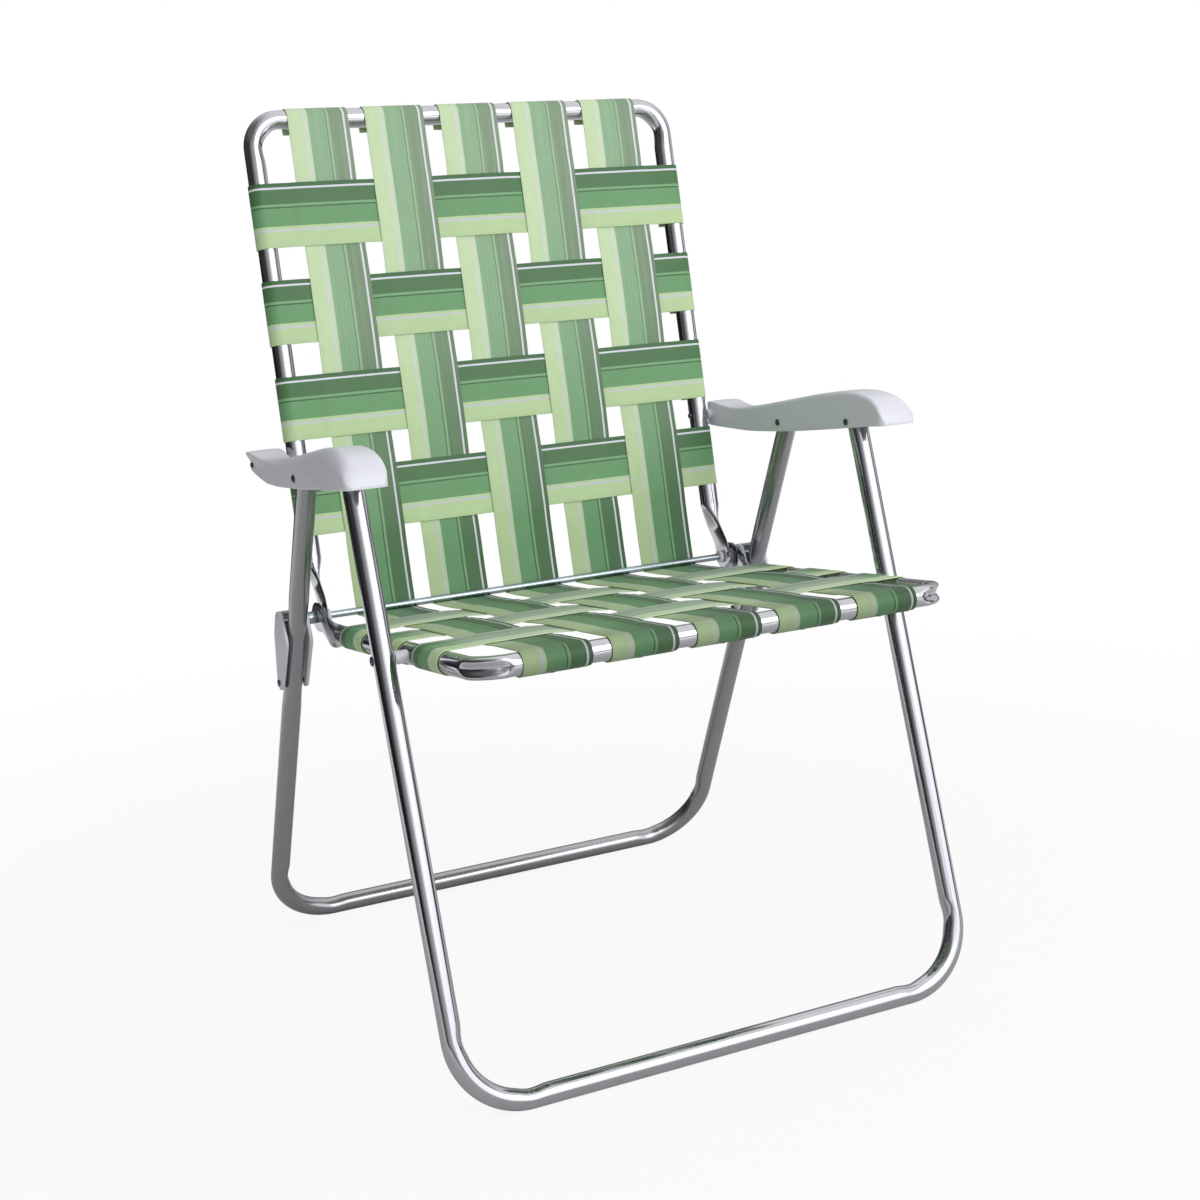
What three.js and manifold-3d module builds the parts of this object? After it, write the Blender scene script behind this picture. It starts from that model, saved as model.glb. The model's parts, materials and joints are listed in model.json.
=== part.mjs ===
// Folding webbed lawn chair.
// Four bent tube frames, two moulded armrests, two lock clips, one hinge rod, pivot fasteners
// and a woven web back and seat, each as its own mesh.
// Millimetres, +Z up. The sitter faces -Y. Left is -X and right is +X, as seen from the front.
import * as THREE from "three";
import { mergeVertices } from "three/addons/utils/BufferGeometryUtils.js";
import Module from "manifold-3d";

const wasm = await Module();
wasm.setup();

// Driving sizes. A place in the side view is a pair (y, z), with y from the front floor rail's axis.

// Clearances and helpers
const GAP = 0.3;
const OVERRUN = 6;
const MERGE_SHARE = 1e-6;
const RIGHT_ANGLE = Math.PI / 2;

// Tubes
const TUBE_DIAMETER = 22.2;
const TUBE_WALL = 1.3;
const TUBE_SIDES = 14;
const BORE_SIDES = 7;

// Widths: the lap tubes' axes from the middle of the chair, and the space out to the leg tubes
const LAP_HALF_WIDTH = 260;
const LEG_SPACE = 15.3;

// Pivots in the side view
const ROD_Y = 434;
const ROD_Z = 424;
const BACK_PIVOT_RISE = 172;
const BACK_PIVOT_SETBACK = 50;
const LINK_REACH = 297;
const LINK_RISE = 15;
const REAR_PIVOT_AHEAD = 152;
const REAR_PIVOT_RISE = 2;
const CLIP_DROP = 73;
const CLIP_SETBACK = 16;

// Leg frames
const FRONT_BEND_RADIUS = 72;
const REAR_BEND_RADIUS = 74;
const LEG_BEND_STEPS = 7;
const LEG_BEND_CREASE = 1.4;
const FRONT_TOP_PAST_PIVOT = 14;
const REAR_TOP_PAST_PIVOT = 10;
const CLIP_SQUEEZE = 1;
const CLIP_SQUEEZE_RUN = 35;

// Seat and back frames
const SEAT_OVERHANG = 18.4;
const SEAT_FRONT_HEIGHT = 454.5;
const BACK_LENGTH = 560;
const SEAT_CORNER_RADIUS = 30;
const BACK_CORNER_RADIUS = 32;
const CORNER_STEPS = 5;
const FLAT_THICKNESS = 4;
const FLAT_SLIT = 0.4;
const FLAT_WIDTH = 33;
const FLAT_RUN = 66;
const DIMPLE_DEPTH = 4.5;
const DIMPLE_REACH = 34;

// Webbing
const WEB_WIDTH = 72;
const WEB_THICKNESS = 1.2;
const STRAP_PITCH_SHARE = 0.354;
const STRAP_COUNT = 5;
const BACK_FIRST_ROW_SHARE = 0.2268;
const BACK_ROW_PITCH_SHARE = 0.1932;
const BACK_ROW_COUNT = 4;
const SEAT_FIRST_ROW = 110;
const SEAT_ROW_PITCH = 111.5;
const SEAT_ROW_COUNT = 3;
const WRAP_SWEEP = THREE.MathUtils.degToRad(230);
const WRAP_STEPS = 8;

// Hinge rod and what is threaded on it
const ROD_DIAMETER = 8;
const ROD_SIDES = 10;
const COLLAR_LENGTH = 4.5;
const COLLAR_DIAMETER = 15;
const WASHER_LENGTH = 3.4;
const WASHER_DIAMETER = 20;
const SPACER_DIAMETER = 14;

// Lock clips
const CLIP_FLANGE = 4;
const CLIP_WEB = 2.6;
const CLIP_BOSS_RADIUS = 12.5;
const CLIP_END_RADIUS = 8.5;
const CLIP_PLAY = 0.75;
const CLIP_WEB_REACH = 26;
const CLIP_WEB_OVER_BOSS = THREE.MathUtils.degToRad(90);
const CLIP_SKIN = 1.6;
const CLIP_SHOULDER_RADIUS = 12;
const CLIP_SHOULDER_DROP = 20;
const CLIP_FRONT_SHOULDER = 9.5;
const CLIP_REAR_SHOULDER = 9;

// Armrests: a channel over the legs, and a skirt that flares outward at the nose
const ARM_WALL = 2.2;
const ARM_WIDTH = 29.4;
const ARM_FLARE = 15.8;
const ARM_LENGTH = 381;
const ARM_REAR_PAST_PIVOT = 14.5;
const ARM_CREST = 49.5;
const ARM_EDGE = 7;
const ARM_NOSE_RADIUS = 11;
const ARM_NOSE_WALL = 8.5;
const ARM_DEPTH_LIMIT = 107;

// Pins, screws and rivets
const PIN_SIDES = 10;
const SHANK_RADIUS = 3;
const HEAD_RADIUS = 5.4;
const HEAD_HEIGHT = 2;
const RIVET_RADIUS = 4.6;
const RIVET_HEIGHT = 1.8;
const CLIP_RIVET_RADIUS = 3.8;
const SEAT_SPACER_RADIUS = 6.8;
const ARM_SPACER_RADIUS = 6.4;
const CAP_RADIUS = 6;
const CAP_LENGTH = 3.2;

// Sizes that follow from these
const LEG_HALF_WIDTH = LAP_HALF_WIDTH + TUBE_DIAMETER + LEG_SPACE;
const STRAP_PITCH = LAP_HALF_WIDTH * STRAP_PITCH_SHARE;
const BACK_FIRST_ROW = BACK_LENGTH * BACK_FIRST_ROW_SHARE;
const BACK_ROW_PITCH = BACK_LENGTH * BACK_ROW_PITCH_SHARE;
const TUBE_RADIUS = TUBE_DIAMETER / 2;
const TUBE_CORNER = TUBE_RADIUS / Math.cos(Math.PI / TUBE_SIDES);
const BORE_RADIUS = TUBE_RADIUS - TUBE_WALL;
const ROD_RADIUS = ROD_DIAMETER / 2;
const WRAP_HALF_STEP = WRAP_SWEEP / WRAP_STEPS / 2;
const WEB_HEIGHT = (TUBE_CORNER + GAP) / Math.cos(WRAP_HALF_STEP) + WEB_THICKNESS / 2;
const WEAVE_LIFT = (WEB_THICKNESS + GAP) / 2;
const ROD_WRAP = ROD_RADIUS + GAP + WEB_THICKNESS / 2;
const ROD_OFFSET = WEB_HEIGHT + ROD_WRAP;
const TONGUE_RADIUS = FLAT_WIDTH / 2;

// Side view points
const point = (y, z) => new THREE.Vector2(y, z);
const ROD = point(ROD_Y, ROD_Z);
const BACK_PIVOT = point(ROD_Y + BACK_PIVOT_SETBACK, ROD_Z + BACK_PIVOT_RISE);
const FRONT_PIVOT = point(BACK_PIVOT.x - LINK_REACH, BACK_PIVOT.y + LINK_RISE);
const SEAT_PIVOT = point(ROD.x - LINK_REACH, ROD.y + LINK_RISE);
const REAR_PIVOT = point(BACK_PIVOT.x - REAR_PIVOT_AHEAD, BACK_PIVOT.y + REAR_PIVOT_RISE);
const CLIP_PIVOT = point(ROD.x + CLIP_SETBACK, ROD.y - CLIP_DROP);

// Places across the chair, from the middle outwards on the right
const BACK_FLAT_INNER = LAP_HALF_WIDTH - FLAT_THICKNESS / 2;
const BACK_FLAT_OUTER = LAP_HALF_WIDTH + FLAT_THICKNESS / 2;
const COLLAR_OUTER = BACK_FLAT_INNER - GAP;
const WASHER_INNER = BACK_FLAT_OUTER + GAP;
const WASHER_OUTER = WASHER_INNER + WASHER_LENGTH;
const SEAT_FLAT_INNER = WASHER_OUTER + GAP;
const SEAT_FLAT_OUTER = SEAT_FLAT_INNER + FLAT_THICKNESS;
const SEAT_FLAT_SHIFT = SEAT_FLAT_INNER + FLAT_THICKNESS / 2 - LAP_HALF_WIDTH;
const CLIP_CHANNEL_INNER = LEG_HALF_WIDTH - TUBE_CORNER - CLIP_PLAY;
const CLIP_CHANNEL_OUTER = LEG_HALF_WIDTH + TUBE_CORNER + CLIP_PLAY;
const CLIP_INNER = CLIP_CHANNEL_INNER - CLIP_FLANGE;
const CLIP_OUTER = CLIP_CHANNEL_OUTER + CLIP_FLANGE;
const ROD_END = CLIP_OUTER - CLIP_SKIN - GAP;
const ARM_INNER = LEG_HALF_WIDTH - ARM_WIDTH / 2;
const ARM_OUTER = LEG_HALF_WIDTH + ARM_WIDTH / 2;
const LAP_TUBE_OUTER = LAP_HALF_WIDTH + TUBE_CORNER;
const LAP_TUBE_INNER = LAP_HALF_WIDTH - TUBE_CORNER;
const LEG_TUBE_OUTER = LEG_HALF_WIDTH + TUBE_CORNER;
const LEG_TUBE_INNER = LEG_HALF_WIDTH - TUBE_CORNER;

// Materials

const FINISHES = {
  tube: { color: 0xc9ccd0, roughness: 0.16, metalness: 1 },
  plastic: { color: 0xe6e7ee, roughness: 0.42, metalness: 0 },
  zinc: { color: 0xb9c0c4, roughness: 0.3, metalness: 1 },
  web: { color: 0x7fb088, roughness: 0.6, metalness: 0 },
};

function piece(name, geometry, finish) {
  const material = new THREE.MeshStandardMaterial(FINISHES[finish]);
  const mesh = new THREE.Mesh(geometry, material);
  mesh.name = name;
  return mesh;
}

// Solids

function solidOf(geometry) {
  const bare = geometry.clone();
  bare.deleteAttribute("normal");
  bare.deleteAttribute("uv");
  bare.computeBoundingSphere();
  const merged = mergeVertices(bare, bare.boundingSphere.radius * MERGE_SHARE);
  const mesh = new wasm.Mesh({
    numProp: 3,
    vertProperties: merged.attributes.position.array,
    triVerts: new Uint32Array(merged.index.array),
  });
  return new wasm.Manifold(mesh);
}

function geometryOf(solid) {
  const mesh = solid.getMesh();
  const geometry = new THREE.BufferGeometry();
  geometry.setAttribute("position", new THREE.BufferAttribute(mesh.vertProperties, 3));
  geometry.setIndex(new THREE.BufferAttribute(mesh.triVerts, 1));
  geometry.computeVertexNormals();
  return geometry;
}

// Radius of a many-sided cutter whose flats lie at the wanted radius
function cutterRadius(radius) {
  return radius / Math.cos(Math.PI / PIN_SIDES);
}

// A straight round bar along X between two places, at a point of the side view
function bar(from, to, radius, at, sides = PIN_SIDES) {
  const geometry = new THREE.CylinderGeometry(radius, radius, to - from, sides);
  geometry.rotateZ(RIGHT_ANGLE);
  geometry.translate((from + to) / 2, at.x, at.y);
  return geometry;
}

// Round holes along X, each { from, to, radius, at }
function drilled(geometry, holes) {
  let solid = solidOf(geometry);
  for (const hole of holes) {
    const radius = cutterRadius(hole.radius);
    solid = solid.subtract(solidOf(bar(hole.from, hole.to, radius, hole.at)));
  }
  return geometryOf(solid);
}

// The same hole on both sides of the chair
function bothSides(hole) {
  const mirrored = { ...hole, from: -hole.to, to: -hole.from };
  return [mirrored, hole];
}

// A turned piece on an X axis: outline points are [distance from the middle, radius]
function turned(outline, side) {
  const points = outline.map(([across, radius]) => new THREE.Vector2(radius, across));
  const geometry = new THREE.LatheGeometry(points, PIN_SIDES);
  geometry.rotateZ(-side * RIGHT_ANGLE);
  return geometry;
}

function sleeve(inner, outer, bore, radius, side) {
  const outline = [
    [inner, bore],
    [inner, radius],
    [outer, radius],
    [outer, bore],
    [inner, bore],
  ];
  return turned(outline, side);
}

const DOME_SHARE = 0.62;
const DOME_RIM_SHARE = 0.45;

// A pin with a domed head outside; inner head only where its radius is given
function headedPin({ inner, outer, shank, head, height, innerHead = 0, innerHeight = 0 }) {
  const rim = height * DOME_RIM_SHARE;
  const tip = outer + height;
  const outline = [[inner - innerHeight, 0]];
  if (innerHead) {
    const innerRim = innerHeight * DOME_RIM_SHARE;
    outline.push([inner - innerHeight, innerHead * DOME_SHARE]);
    outline.push([inner - innerRim, innerHead]);
    outline.push([inner, innerHead]);
  }
  outline.push([inner, shank]);
  outline.push([outer, shank]);
  outline.push([outer, head]);
  outline.push([outer + rim, head]);
  outline.push([tip, head * DOME_SHARE]);
  outline.push([tip, 0]);
  return outline;
}

// Paths made of stations, each with its own tangent, in a plane whose normal is given
class StationPath extends THREE.Curve {
  constructor(stations, flat) {
    super();
    this.stations = stations;
    this.flat = flat;
  }

  station(share) {
    return this.stations[Math.round(share * (this.stations.length - 1))];
  }

  getPoint(share, target = new THREE.Vector3()) {
    return target.copy(this.station(share).place);
  }

  getPointAt(share, target) {
    return this.getPoint(share, target);
  }

  getTangent(share, target = new THREE.Vector3()) {
    return target.copy(this.station(share).tangent);
  }

  computeFrenetFrames(steps) {
    const frames = { tangents: [], normals: [], binormals: [] };
    for (let step = 0; step <= steps; step += 1) {
      const tangent = this.getTangent(step / steps);
      frames.tangents.push(tangent);
      frames.binormals.push(this.flat.clone());
      frames.normals.push(new THREE.Vector3().crossVectors(this.flat, tangent));
    }
    return frames;
  }
}

function station(x, y, z, tx, ty, tz) {
  return {
    place: new THREE.Vector3(x, y, z),
    tangent: new THREE.Vector3(tx, ty, tz).normalize(),
  };
}

function sweep(shape, stations, flat) {
  return new THREE.ExtrudeGeometry(shape, {
    steps: stations.length - 1,
    extrudePath: new StationPath(stations, flat),
  });
}

function polygon(radius, sides, turn) {
  const points = [];
  for (let side = 0; side < sides; side += 1) {
    const angle = turn + ((side + 0.5) * 2 * Math.PI) / sides;
    points.push(new THREE.Vector2(radius * Math.cos(angle), radius * Math.sin(angle)));
  }
  return points;
}

// Section of a tube, turned so that one flat faces along the given angle
function tubeSection(turn) {
  const shape = new THREE.Shape(polygon(TUBE_CORNER, TUBE_SIDES, turn));
  shape.holes.push(new THREE.Path(polygon(BORE_RADIUS, BORE_SIDES, turn)));
  return shape;
}

// A frame lies in a plane of its own: x across, y along from its rail's axis towards the open ends,
// z off the plane. Its group carries that plane to its place in the side view.
const ALONG = new THREE.Vector3(0, 1, 0);
const ACROSS = new THREE.Vector3(1, 0, 0);
const OFF = new THREE.Vector3(0, 0, 1);

class FramePlane {
  constructor(rail, along, offSide) {
    this.rail = rail;
    this.along = along.clone().normalize();
    this.off = point(-this.along.y, this.along.x).multiplyScalar(offSide);
    this.group = new THREE.Group();
    const y = new THREE.Vector3(0, this.along.x, this.along.y);
    const z = new THREE.Vector3(0, this.off.x, this.off.y);
    const x = new THREE.Vector3().crossVectors(y, z);
    const basis = new THREE.Matrix4().makeBasis(x, y, z);
    this.group.quaternion.setFromRotationMatrix(basis);
    this.group.position.set(0, rail.x, rail.y);
    this.acrossSign = Math.sign(x.x);
  }

  // A side view point in the plane's own (y, z)
  local(at) {
    const reach = at.clone().sub(this.rail);
    return point(reach.dot(this.along), reach.dot(this.off));
  }

  // Angle, in a tube's section at the rail, of the world's downward direction
  downAngle() {
    return Math.atan2(-this.off.y, -this.along.y);
  }
}

// A U in the frame's plane. Side stops run from the open end to the bend, rail stops from left to
// right between the bends.
function uStations(halfWidth, radius, bendSteps, sideStops, railStops) {
  const left = sideStops.map((y) => station(-halfWidth, y, 0, 0, -1, 0));
  const stations = [...left];
  for (let step = 0; step <= bendSteps; step += 1) {
    const angle = (step / bendSteps) * RIGHT_ANGLE;
    const x = -halfWidth + radius - radius * Math.cos(angle);
    const y = radius - radius * Math.sin(angle);
    stations.push(station(x, y, 0, Math.sin(angle), -Math.cos(angle), 0));
  }
  const half = [...stations];
  for (const x of railStops) {
    stations.push(station(x, 0, 0, 1, 0, 0));
  }
  for (const { place, tangent } of half.reverse()) {
    stations.push(station(-place.x, place.y, 0, tangent.x, -tangent.y, 0));
  }
  return stations;
}

function uTube(plane, halfWidth, radius, bendSteps, sideStops, railStops, form) {
  const stations = uStations(halfWidth, radius, bendSteps, sideStops, railStops);
  const geometry = sweep(tubeSection(plane.downAngle()), stations, OFF);
  const position = geometry.getAttribute("position");
  const vertex = new THREE.Vector3();
  for (let index = 0; index < position.count; index += 1) {
    vertex.fromBufferAttribute(position, index);
    form(vertex);
    position.setXYZ(index, vertex.x, vertex.y, vertex.z);
  }
  return geometry;
}

const { smoothstep, lerp } = THREE.MathUtils;

// Bump of height 1 at the middle, flat at reach 1
function bump(distance) {
  return distance < 1 ? (1 - distance ** 2) ** 2 : 0;
}

const CREASE_REACH_SHARE = 0.8;

// The inner wall of a bend creases where the bend starts and ends
function creaseBend(vertex, halfWidth, radius, depth) {
  const side = Math.sign(vertex.x);
  const centreX = halfWidth - radius;
  const reach = CREASE_REACH_SHARE * TUBE_DIAMETER;
  const innerX = halfWidth - TUBE_RADIUS - Math.abs(vertex.x);
  const atStart = Math.hypot(vertex.y - radius, innerX) / reach;
  const atEnd = Math.hypot(Math.abs(vertex.x) - centreX, vertex.y - TUBE_RADIUS) / reach;
  vertex.x += side * depth * bump(atStart);
  vertex.y -= depth * bump(atEnd);
}

// A pair of leg frames' holes, drilled across both tubes
function legHole(at, radius) {
  const from = LEG_HALF_WIDTH - TUBE_RADIUS - OVERRUN;
  const to = LEG_HALF_WIDTH + TUBE_RADIUS + OVERRUN;
  return bothSides({ from, to, radius, at });
}

// Front legs

const FLOOR_RAIL_HEIGHT = TUBE_RADIUS;
const FRONT_RAIL = point(0, FLOOR_RAIL_HEIGHT);
const frontLegs = new FramePlane(FRONT_RAIL, FRONT_PIVOT.clone().sub(FRONT_RAIL), 1);

function frontLegFrame() {
  const top = frontLegs.local(FRONT_PIVOT).x + FRONT_TOP_PAST_PIVOT;
  const geometry = uTube(
    frontLegs,
    LEG_HALF_WIDTH,
    FRONT_BEND_RADIUS,
    LEG_BEND_STEPS,
    [top],
    [],
    (vertex) => creaseBend(vertex, LEG_HALF_WIDTH, FRONT_BEND_RADIUS, LEG_BEND_CREASE),
  );
  const holes = [FRONT_PIVOT, SEAT_PIVOT].flatMap((at) => {
    return legHole(frontLegs.local(at), SHANK_RADIUS + GAP);
  });
  return piece("front_leg_frame", drilled(geometry, holes), "tube");
}

// Rear legs, squeezed a little where they lie in the lock clips

const REAR_AXIS = REAR_PIVOT.clone().sub(CLIP_PIVOT).normalize();
const REAR_DROP = (CLIP_PIVOT.y - FLOOR_RAIL_HEIGHT) / REAR_AXIS.y;
const REAR_RAIL = CLIP_PIVOT.clone().addScaledVector(REAR_AXIS, -REAR_DROP);
const rearLegs = new FramePlane(REAR_RAIL, REAR_AXIS, 1);
const SQUEEZE_STOP_SHARES = [1, 0.65, 0.35, 0];

function rearLegFrame() {
  const top = rearLegs.local(REAR_PIVOT).x + REAR_TOP_PAST_PIVOT;
  const upper = rearLegs.local(ROD).x + CLIP_BOSS_RADIUS;
  const lower = rearLegs.local(CLIP_PIVOT).x - CLIP_END_RADIUS;
  const upperStops = SQUEEZE_STOP_SHARES.map((share) => upper + share * CLIP_SQUEEZE_RUN);
  const lowerStops = SQUEEZE_STOP_SHARES.map((share) => lower - (1 - share) * CLIP_SQUEEZE_RUN);
  const form = (vertex) => {
    const above = 1 - smoothstep(vertex.y, upper, upper + CLIP_SQUEEZE_RUN);
    const below = smoothstep(vertex.y, lower - CLIP_SQUEEZE_RUN, lower);
    const squeeze = (CLIP_SQUEEZE / TUBE_RADIUS) * above * below;
    const axis = Math.sign(vertex.x) * LEG_HALF_WIDTH;
    vertex.x = axis + (vertex.x - axis) * (1 - squeeze);
    vertex.z *= 1 + squeeze;
    creaseBend(vertex, LEG_HALF_WIDTH, REAR_BEND_RADIUS, LEG_BEND_CREASE);
  };
  const geometry = uTube(
    rearLegs,
    LEG_HALF_WIDTH,
    REAR_BEND_RADIUS,
    LEG_BEND_STEPS,
    [top, ...upperStops, ...lowerStops],
    [],
    form,
  );
  const holes = legHole(rearLegs.local(REAR_PIVOT), SHANK_RADIUS + GAP);
  return piece("rear_leg_frame", drilled(geometry, holes), "tube");
}

// Seat and back frames end in flattened tongues that are threaded on the rod

const TONGUE_ANGLE_SHARES = [0.8, 0.45, 0];
const FLAT_STOP_SHARES = [0.18, 0.34, 0.49, 0.63, 0.77, 0.89, 1];
const FLAT_FROM_SHARE = 0.53;
const RISE_FROM_SHARE = 0.16;
const RISE_TO_SHARE = 0.78;

function tongueStops(rodAlong) {
  const round = TONGUE_ANGLE_SHARES.map((share) => {
    return rodAlong + TONGUE_RADIUS * Math.sin(share * RIGHT_ANGLE);
  });
  const taper = FLAT_STOP_SHARES.map((share) => rodAlong - share * FLAT_RUN);
  return [...round, ...taper];
}

// Presses the tube's end flat across the chair, rounds it off about the rod, lifts it to the rod
// and shifts it sideways
function pressTongue(vertex, rodAlong, shift) {
  const side = Math.sign(vertex.x);
  const before = rodAlong - vertex.y;
  if (before > FLAT_RUN) {
    return;
  }
  const across = vertex.x - side * LAP_HALF_WIDTH;
  const radius = Math.hypot(across, vertex.z);
  const depthShare = (radius - BORE_RADIUS) / (TUBE_CORNER - BORE_RADIUS);
  const flatRadius = lerp(FLAT_SLIT, FLAT_THICKNESS, depthShare) / 2;
  const flat = 1 - smoothstep(before, FLAT_FROM_SHARE * FLAT_RUN, FLAT_RUN);
  const rise = 1 - smoothstep(before, RISE_FROM_SHARE * FLAT_RUN, RISE_TO_SHARE * FLAT_RUN);
  const past = Math.max(0, -before) / TONGUE_RADIUS;
  const round = Math.sqrt(1 - Math.min(1, past) ** 2);
  const spread = lerp(1, TONGUE_RADIUS / TUBE_CORNER, flat) * round;
  const pressed = across * lerp(1, flatRadius / radius, flat);
  vertex.x = side * (LAP_HALF_WIDTH + shift * flat) + pressed;
  vertex.z = vertex.z * spread + ROD_OFFSET * rise;
}

function rodHole(plane, inner, outer) {
  const at = plane.local(ROD);
  return bothSides({ from: inner - GAP, to: outer + GAP, radius: ROD_RADIUS + GAP, at });
}

function lapHole(plane, at) {
  const from = LAP_TUBE_INNER - OVERRUN;
  const to = LAP_TUBE_OUTER + OVERRUN;
  return bothSides({ from, to, radius: SHANK_RADIUS + GAP, at: plane.local(at) });
}

// Seat frame: it tilts down to the rear so that the webbing runs just under the rod

const SEAT_RAIL = point(-SEAT_OVERHANG, SEAT_FRONT_HEIGHT);
const SEAT_TO_ROD = ROD.clone().sub(SEAT_RAIL);
const SEAT_TILT = SEAT_TO_ROD.angle() - Math.asin(ROD_OFFSET / SEAT_TO_ROD.length());
const SEAT_AXIS = point(Math.cos(SEAT_TILT), Math.sin(SEAT_TILT));
const seat = new FramePlane(SEAT_RAIL, SEAT_AXIS, 1);
const SEAT_ROD_ALONG = seat.local(ROD).x;
const DIMPLE_STOP_SHARES = [0.25, 0.55, 0.8, 1];

// The outer wall of each front corner is pressed in
function dimple(vertex) {
  const centre = LAP_HALF_WIDTH - SEAT_CORNER_RADIUS;
  const run = (Math.abs(vertex.x) - centre) / DIMPLE_REACH;
  const climb = vertex.z / TUBE_RADIUS;
  const outer = smoothstep(-vertex.y, 0, TUBE_RADIUS / 2);
  vertex.y += DIMPLE_DEPTH * bump(Math.hypot(run, climb)) * outer;
}

function seatFrame() {
  const centre = LAP_HALF_WIDTH - SEAT_CORNER_RADIUS;
  const railLeft = DIMPLE_STOP_SHARES.map((share) => share * DIMPLE_REACH - centre);
  const railRight = railLeft.map((x) => -x).reverse();
  const geometry = uTube(
    seat,
    LAP_HALF_WIDTH,
    SEAT_CORNER_RADIUS,
    CORNER_STEPS,
    tongueStops(SEAT_ROD_ALONG),
    [...railLeft, ...railRight],
    (vertex) => {
      dimple(vertex);
      pressTongue(vertex, SEAT_ROD_ALONG, SEAT_FLAT_SHIFT);
    },
  );
  const holes = [
    ...rodHole(seat, SEAT_FLAT_INNER, SEAT_FLAT_OUTER),
    ...lapHole(seat, SEAT_PIVOT),
  ];
  return piece("seat_frame", drilled(geometry, holes), "tube");
}

// Back frame: its axis passes through the armrest pivot and runs behind the rod

const ROD_TO_BACK_PIVOT = BACK_PIVOT.clone().sub(ROD);
const BACK_ANGLE = ROD_TO_BACK_PIVOT.angle() + Math.asin(ROD_OFFSET / ROD_TO_BACK_PIVOT.length());
const BACK_UP = point(Math.cos(BACK_ANGLE), Math.sin(BACK_ANGLE));
const BACK_REARWARD = point(BACK_UP.y, -BACK_UP.x);
const BACK_FOOT = ROD.clone().addScaledVector(BACK_REARWARD, ROD_OFFSET);
const BACK_RAIL = BACK_FOOT.clone().addScaledVector(BACK_UP, BACK_LENGTH);
const back = new FramePlane(BACK_RAIL, BACK_UP.clone().negate(), -1);

function backFrame() {
  const geometry = uTube(
    back,
    LAP_HALF_WIDTH,
    BACK_CORNER_RADIUS,
    CORNER_STEPS,
    tongueStops(BACK_LENGTH),
    [],
    (vertex) => {
      creaseBend(vertex, LAP_HALF_WIDTH, BACK_CORNER_RADIUS, LEG_BEND_CREASE);
      pressTongue(vertex, BACK_LENGTH, 0);
    },
  );
  const holes = [
    ...rodHole(back, BACK_FLAT_INNER, BACK_FLAT_OUTER),
    ...lapHole(back, BACK_PIVOT),
  ];
  return piece("back_frame", drilled(geometry, holes), "tube");
}

// Webbing. A band's route is a list of (run, height) points in a plane, smoothed only by its
// stations' mean tangents.

function bandSection() {
  const halfWidth = WEB_WIDTH / 2;
  const halfThickness = WEB_THICKNESS / 2;
  return new THREE.Shape([
    point(-halfThickness, -halfWidth),
    point(halfThickness, -halfWidth),
    point(halfThickness, halfWidth),
    point(-halfThickness, halfWidth),
  ]);
}

// Route points become stations; toPlace turns (run, height) into the frame's own x, y, z
function band(route, toPlace, flat) {
  const stations = route.map((at, index) => {
    const before = route[Math.max(0, index - 1)];
    const after = route[Math.min(route.length - 1, index + 1)];
    const into = at.clone().sub(before).normalize();
    const out = after.clone().sub(at).normalize();
    const mean = into.add(out).normalize();
    const place = toPlace(at);
    const tangent = toPlace(mean);
    return station(place.x, place.y, place.z, tangent.x, tangent.y, tangent.z);
  });
  return sweep(bandSection(), stations, flat);
}

// The wrap round a tube whose axis is at the given run, from the sitter's side outwards
function wrap(axisRun, outward) {
  const points = [];
  for (let step = 0; step <= WRAP_STEPS; step += 1) {
    const angle = (step / WRAP_STEPS) * WRAP_SWEEP;
    const run = axisRun + outward * WEB_HEIGHT * Math.sin(angle);
    points.push(point(run, WEB_HEIGHT * Math.cos(angle)));
  }
  return points;
}

// Two points that hold the band level over or under one crossing
function crossing(centre, over) {
  const half = WEB_WIDTH / 2 + GAP;
  const height = WEB_HEIGHT + (over ? WEAVE_LIFT : -WEAVE_LIFT);
  return [point(centre - half, height), point(centre + half, height)];
}

// The strap's end at the rod: an eighth of a turn round it, with its centre on the hinge axis
const ROD_ARC_SHARES = [0, 0.5, 1];
const ROD_ARC = THREE.MathUtils.degToRad(40);

function rodArc(rodAlong) {
  return ROD_ARC_SHARES.map((share) => {
    const angle = share * ROD_ARC;
    const height = ROD_OFFSET - ROD_WRAP * Math.cos(angle);
    return point(rodAlong + ROD_WRAP * Math.sin(angle), height);
  });
}

function strapPlaces() {
  return Array.from({ length: STRAP_COUNT }, (_, index) => {
    return (index - (STRAP_COUNT - 1) / 2) * STRAP_PITCH;
  });
}

// Row distances from the rod, nearest first
function rowPlaces(first, pitch, count) {
  return Array.from({ length: count }, (_, index) => first + index * pitch);
}

const alongPlace = (at) => new THREE.Vector3(0, at.x, at.y);
const acrossPlace = (at) => new THREE.Vector3(at.x, 0, at.y);

// A row goes over the odd straps when rowOverOdd is true, and over the even ones otherwise
function rowOver(rowOverOdd, strapIndex) {
  return rowOverOdd === (strapIndex % 2 === 0);
}

function strap(name, plane, rows, rodAlong, strapIndex, x) {
  const crossings = rows.flatMap(({ along, overOdd }) => {
    return crossing(along, !rowOver(overOdd, strapIndex));
  });
  const route = [...wrap(0, -1).reverse(), ...crossings, ...rodArc(rodAlong)];
  const geometry = band(route, alongPlace, ACROSS);
  geometry.translate(plane.acrossSign * x, 0, 0);
  return piece(name, geometry, "web");
}

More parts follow.
